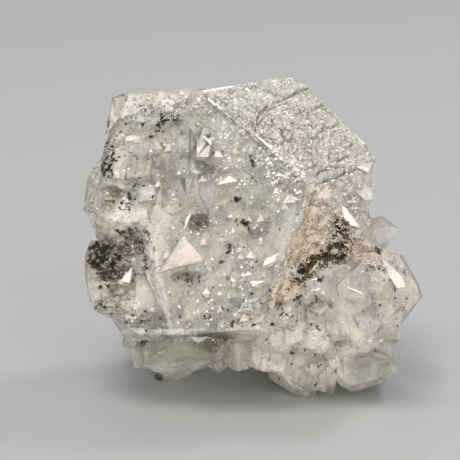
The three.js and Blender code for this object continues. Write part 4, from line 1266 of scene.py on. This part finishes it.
moss = dark_finish("dark_moss", 1.2, (0.42, 0.66), (27, 24, 11), (118, 101, 52), 0.7, 0.7)
tufts = []
for points, count, wide in (
    ([(13.6, -9.8), (14.8, -8.4), (16.2, -7.2), (17.8, -6.2), (20.2, -5.4), (22.8, -5)], 2000, 0.8),
    ([(22, 2.2), (22.2, -0.6), (22.2, -3), (21, -5)], 1150, 1.1),
    ([(15, -7.8), (16.4, -6), (18.6, -4.6), (20.4, -3.8)], 520, 0.5),
    ([(29.2, -3.2), (29.8, -5.2)], 70, 0.35),
    ([(27.4, -7.2), (29.6, -7.8)], 60, 0.4),
    ([(16.8, -13.4), (17.6, -14)], 30, 0.4),
):
    for _ in range(count):
        leg = chance.randrange(len(points) - 1)
        (x0, z0), (x1, z1) = points[leg], points[leg + 1]
        t = chance.random()
        x = x0 + (x1 - x0) * t + chance.gauss(0, wide)
        z = z0 + (z1 - z0) * t + chance.gauss(0, wide)
        at, normal = seen(surface, x, z)
        clump = noise.noise(Vector((x, z, 5)) * 0.8) + 0.5 * noise.noise(Vector((x, z, 9)) * 2.2)
        if at and clump > -0.16:
            tufts.append(angular(chance, at + normal * chance.uniform(0, 0.25), chance.uniform(0.15, 0.55)))
moss_piece = stamped("dark_moss", tufts, moss)
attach(moss_piece, "root")

# ---- The floor, the light and the camera --------------------------------------------------------------------
# A plain pale floor, soft boxes all round the specimen, and a camera in front of it that looks a little down on
# it, as EYE does.
bpy.ops.object.select_all(action="DESELECT")
bpy.ops.mesh.primitive_plane_add(size=6)
floor = bpy.context.object
floor.name = "floor"
paint = bpy.data.materials.new("pale_floor")
paint.use_nodes = True
shader = paint.node_tree.nodes["Principled BSDF"]
shader.inputs["Base Color"].default_value = rgb(187, 190, 192)
shader.inputs["Roughness"].default_value = 0.7
floor.data.materials.append(paint)

world = bpy.data.worlds.new("studio")
bpy.context.scene.world = world
world.use_nodes = True
sky = Wire.node(world.node_tree, "ShaderNodeTexCoord", {}, {}, 0)
height = sky.also("ShaderNodeSeparateXYZ", {}, {0: sky}, 2)
glow = height.rise(0.0, 0.95).tint((0.118, 0.118, 0.116, 1), (0.43, 0.428, 0.42, 1))
world.node_tree.links.new(glow.socket, world.node_tree.nodes["Background"].inputs[0])

WARM = (1, 0.97, 0.94)
for name, toward, distance, size, radiance, colour in (
    ("left_strip", (-0.86, -0.1, 0.5), 1.0, (0.12, 0.5), 4.6, WARM),
    ("rear_strip", (-0.15, 0.75, 0.64), 1.0, (0.5, 0.12), 4.6, WARM),
    ("right_strip", (0.93, -0.25, 0.3), 1.0, (0.12, 0.4), 4.6, WARM),
    ("front_strip", (0.35, -0.7, 0.62), 1.0, (0.3, 0.1), 4.2, WARM),
    ("top_light", (-0.24, -0.218, 0.945), 0.9, (0.4, 0.4), 6.2, (1, 0.92, 0.87)),
    ("back_light", (0.5, 0.49, 0.71), 1.2, (0.3, 0.3), 12, (1, 0.98, 0.95)),
    ("right_fill", (0.6, -0.78, 0.2), 0.9, (0.6, 0.5), 1.9, (1, 0.97, 0.93)),
    ("low_fill", (0.05, -1, 0.16), 0.8, (0.8, 0.24), 2.9, (1, 0.97, 0.93)),
):
    lamp = bpy.data.lights.new(name, "AREA")
    lamp.shape = "RECTANGLE"
    lamp.size, lamp.size_y = size
    lamp.energy = radiance * math.pi * size[0] * size[1]
    lamp.color = colour
    holder = bpy.data.objects.new(name, lamp)
    bpy.context.scene.collection.objects.link(holder)
    aim = Vector(toward).normalized()
    holder.location = Vector((0, 0, 0.03)) + aim * distance
    holder.rotation_euler = (-aim).to_track_quat("-Z", "Y").to_euler()

VIEW_RISE = math.radians(15)
VIEW_DISTANCE = 0.4
VIEW_WIDTH = 0.092
aim = Vector((0, -math.cos(VIEW_RISE), math.sin(VIEW_RISE)))
camera = bpy.data.objects.new("camera", bpy.data.cameras.new("camera"))
bpy.context.scene.collection.objects.link(camera)
camera.data.sensor_width = 36
camera.data.lens = 36 * VIEW_DISTANCE / VIEW_WIDTH
camera.location = SEAT * MM + aim * VIEW_DISTANCE
camera.rotation_euler = aim.to_track_quat("Z", "Y").to_euler()
bpy.context.scene.camera = camera
bpy.context.scene.view_settings.view_transform = "Standard"
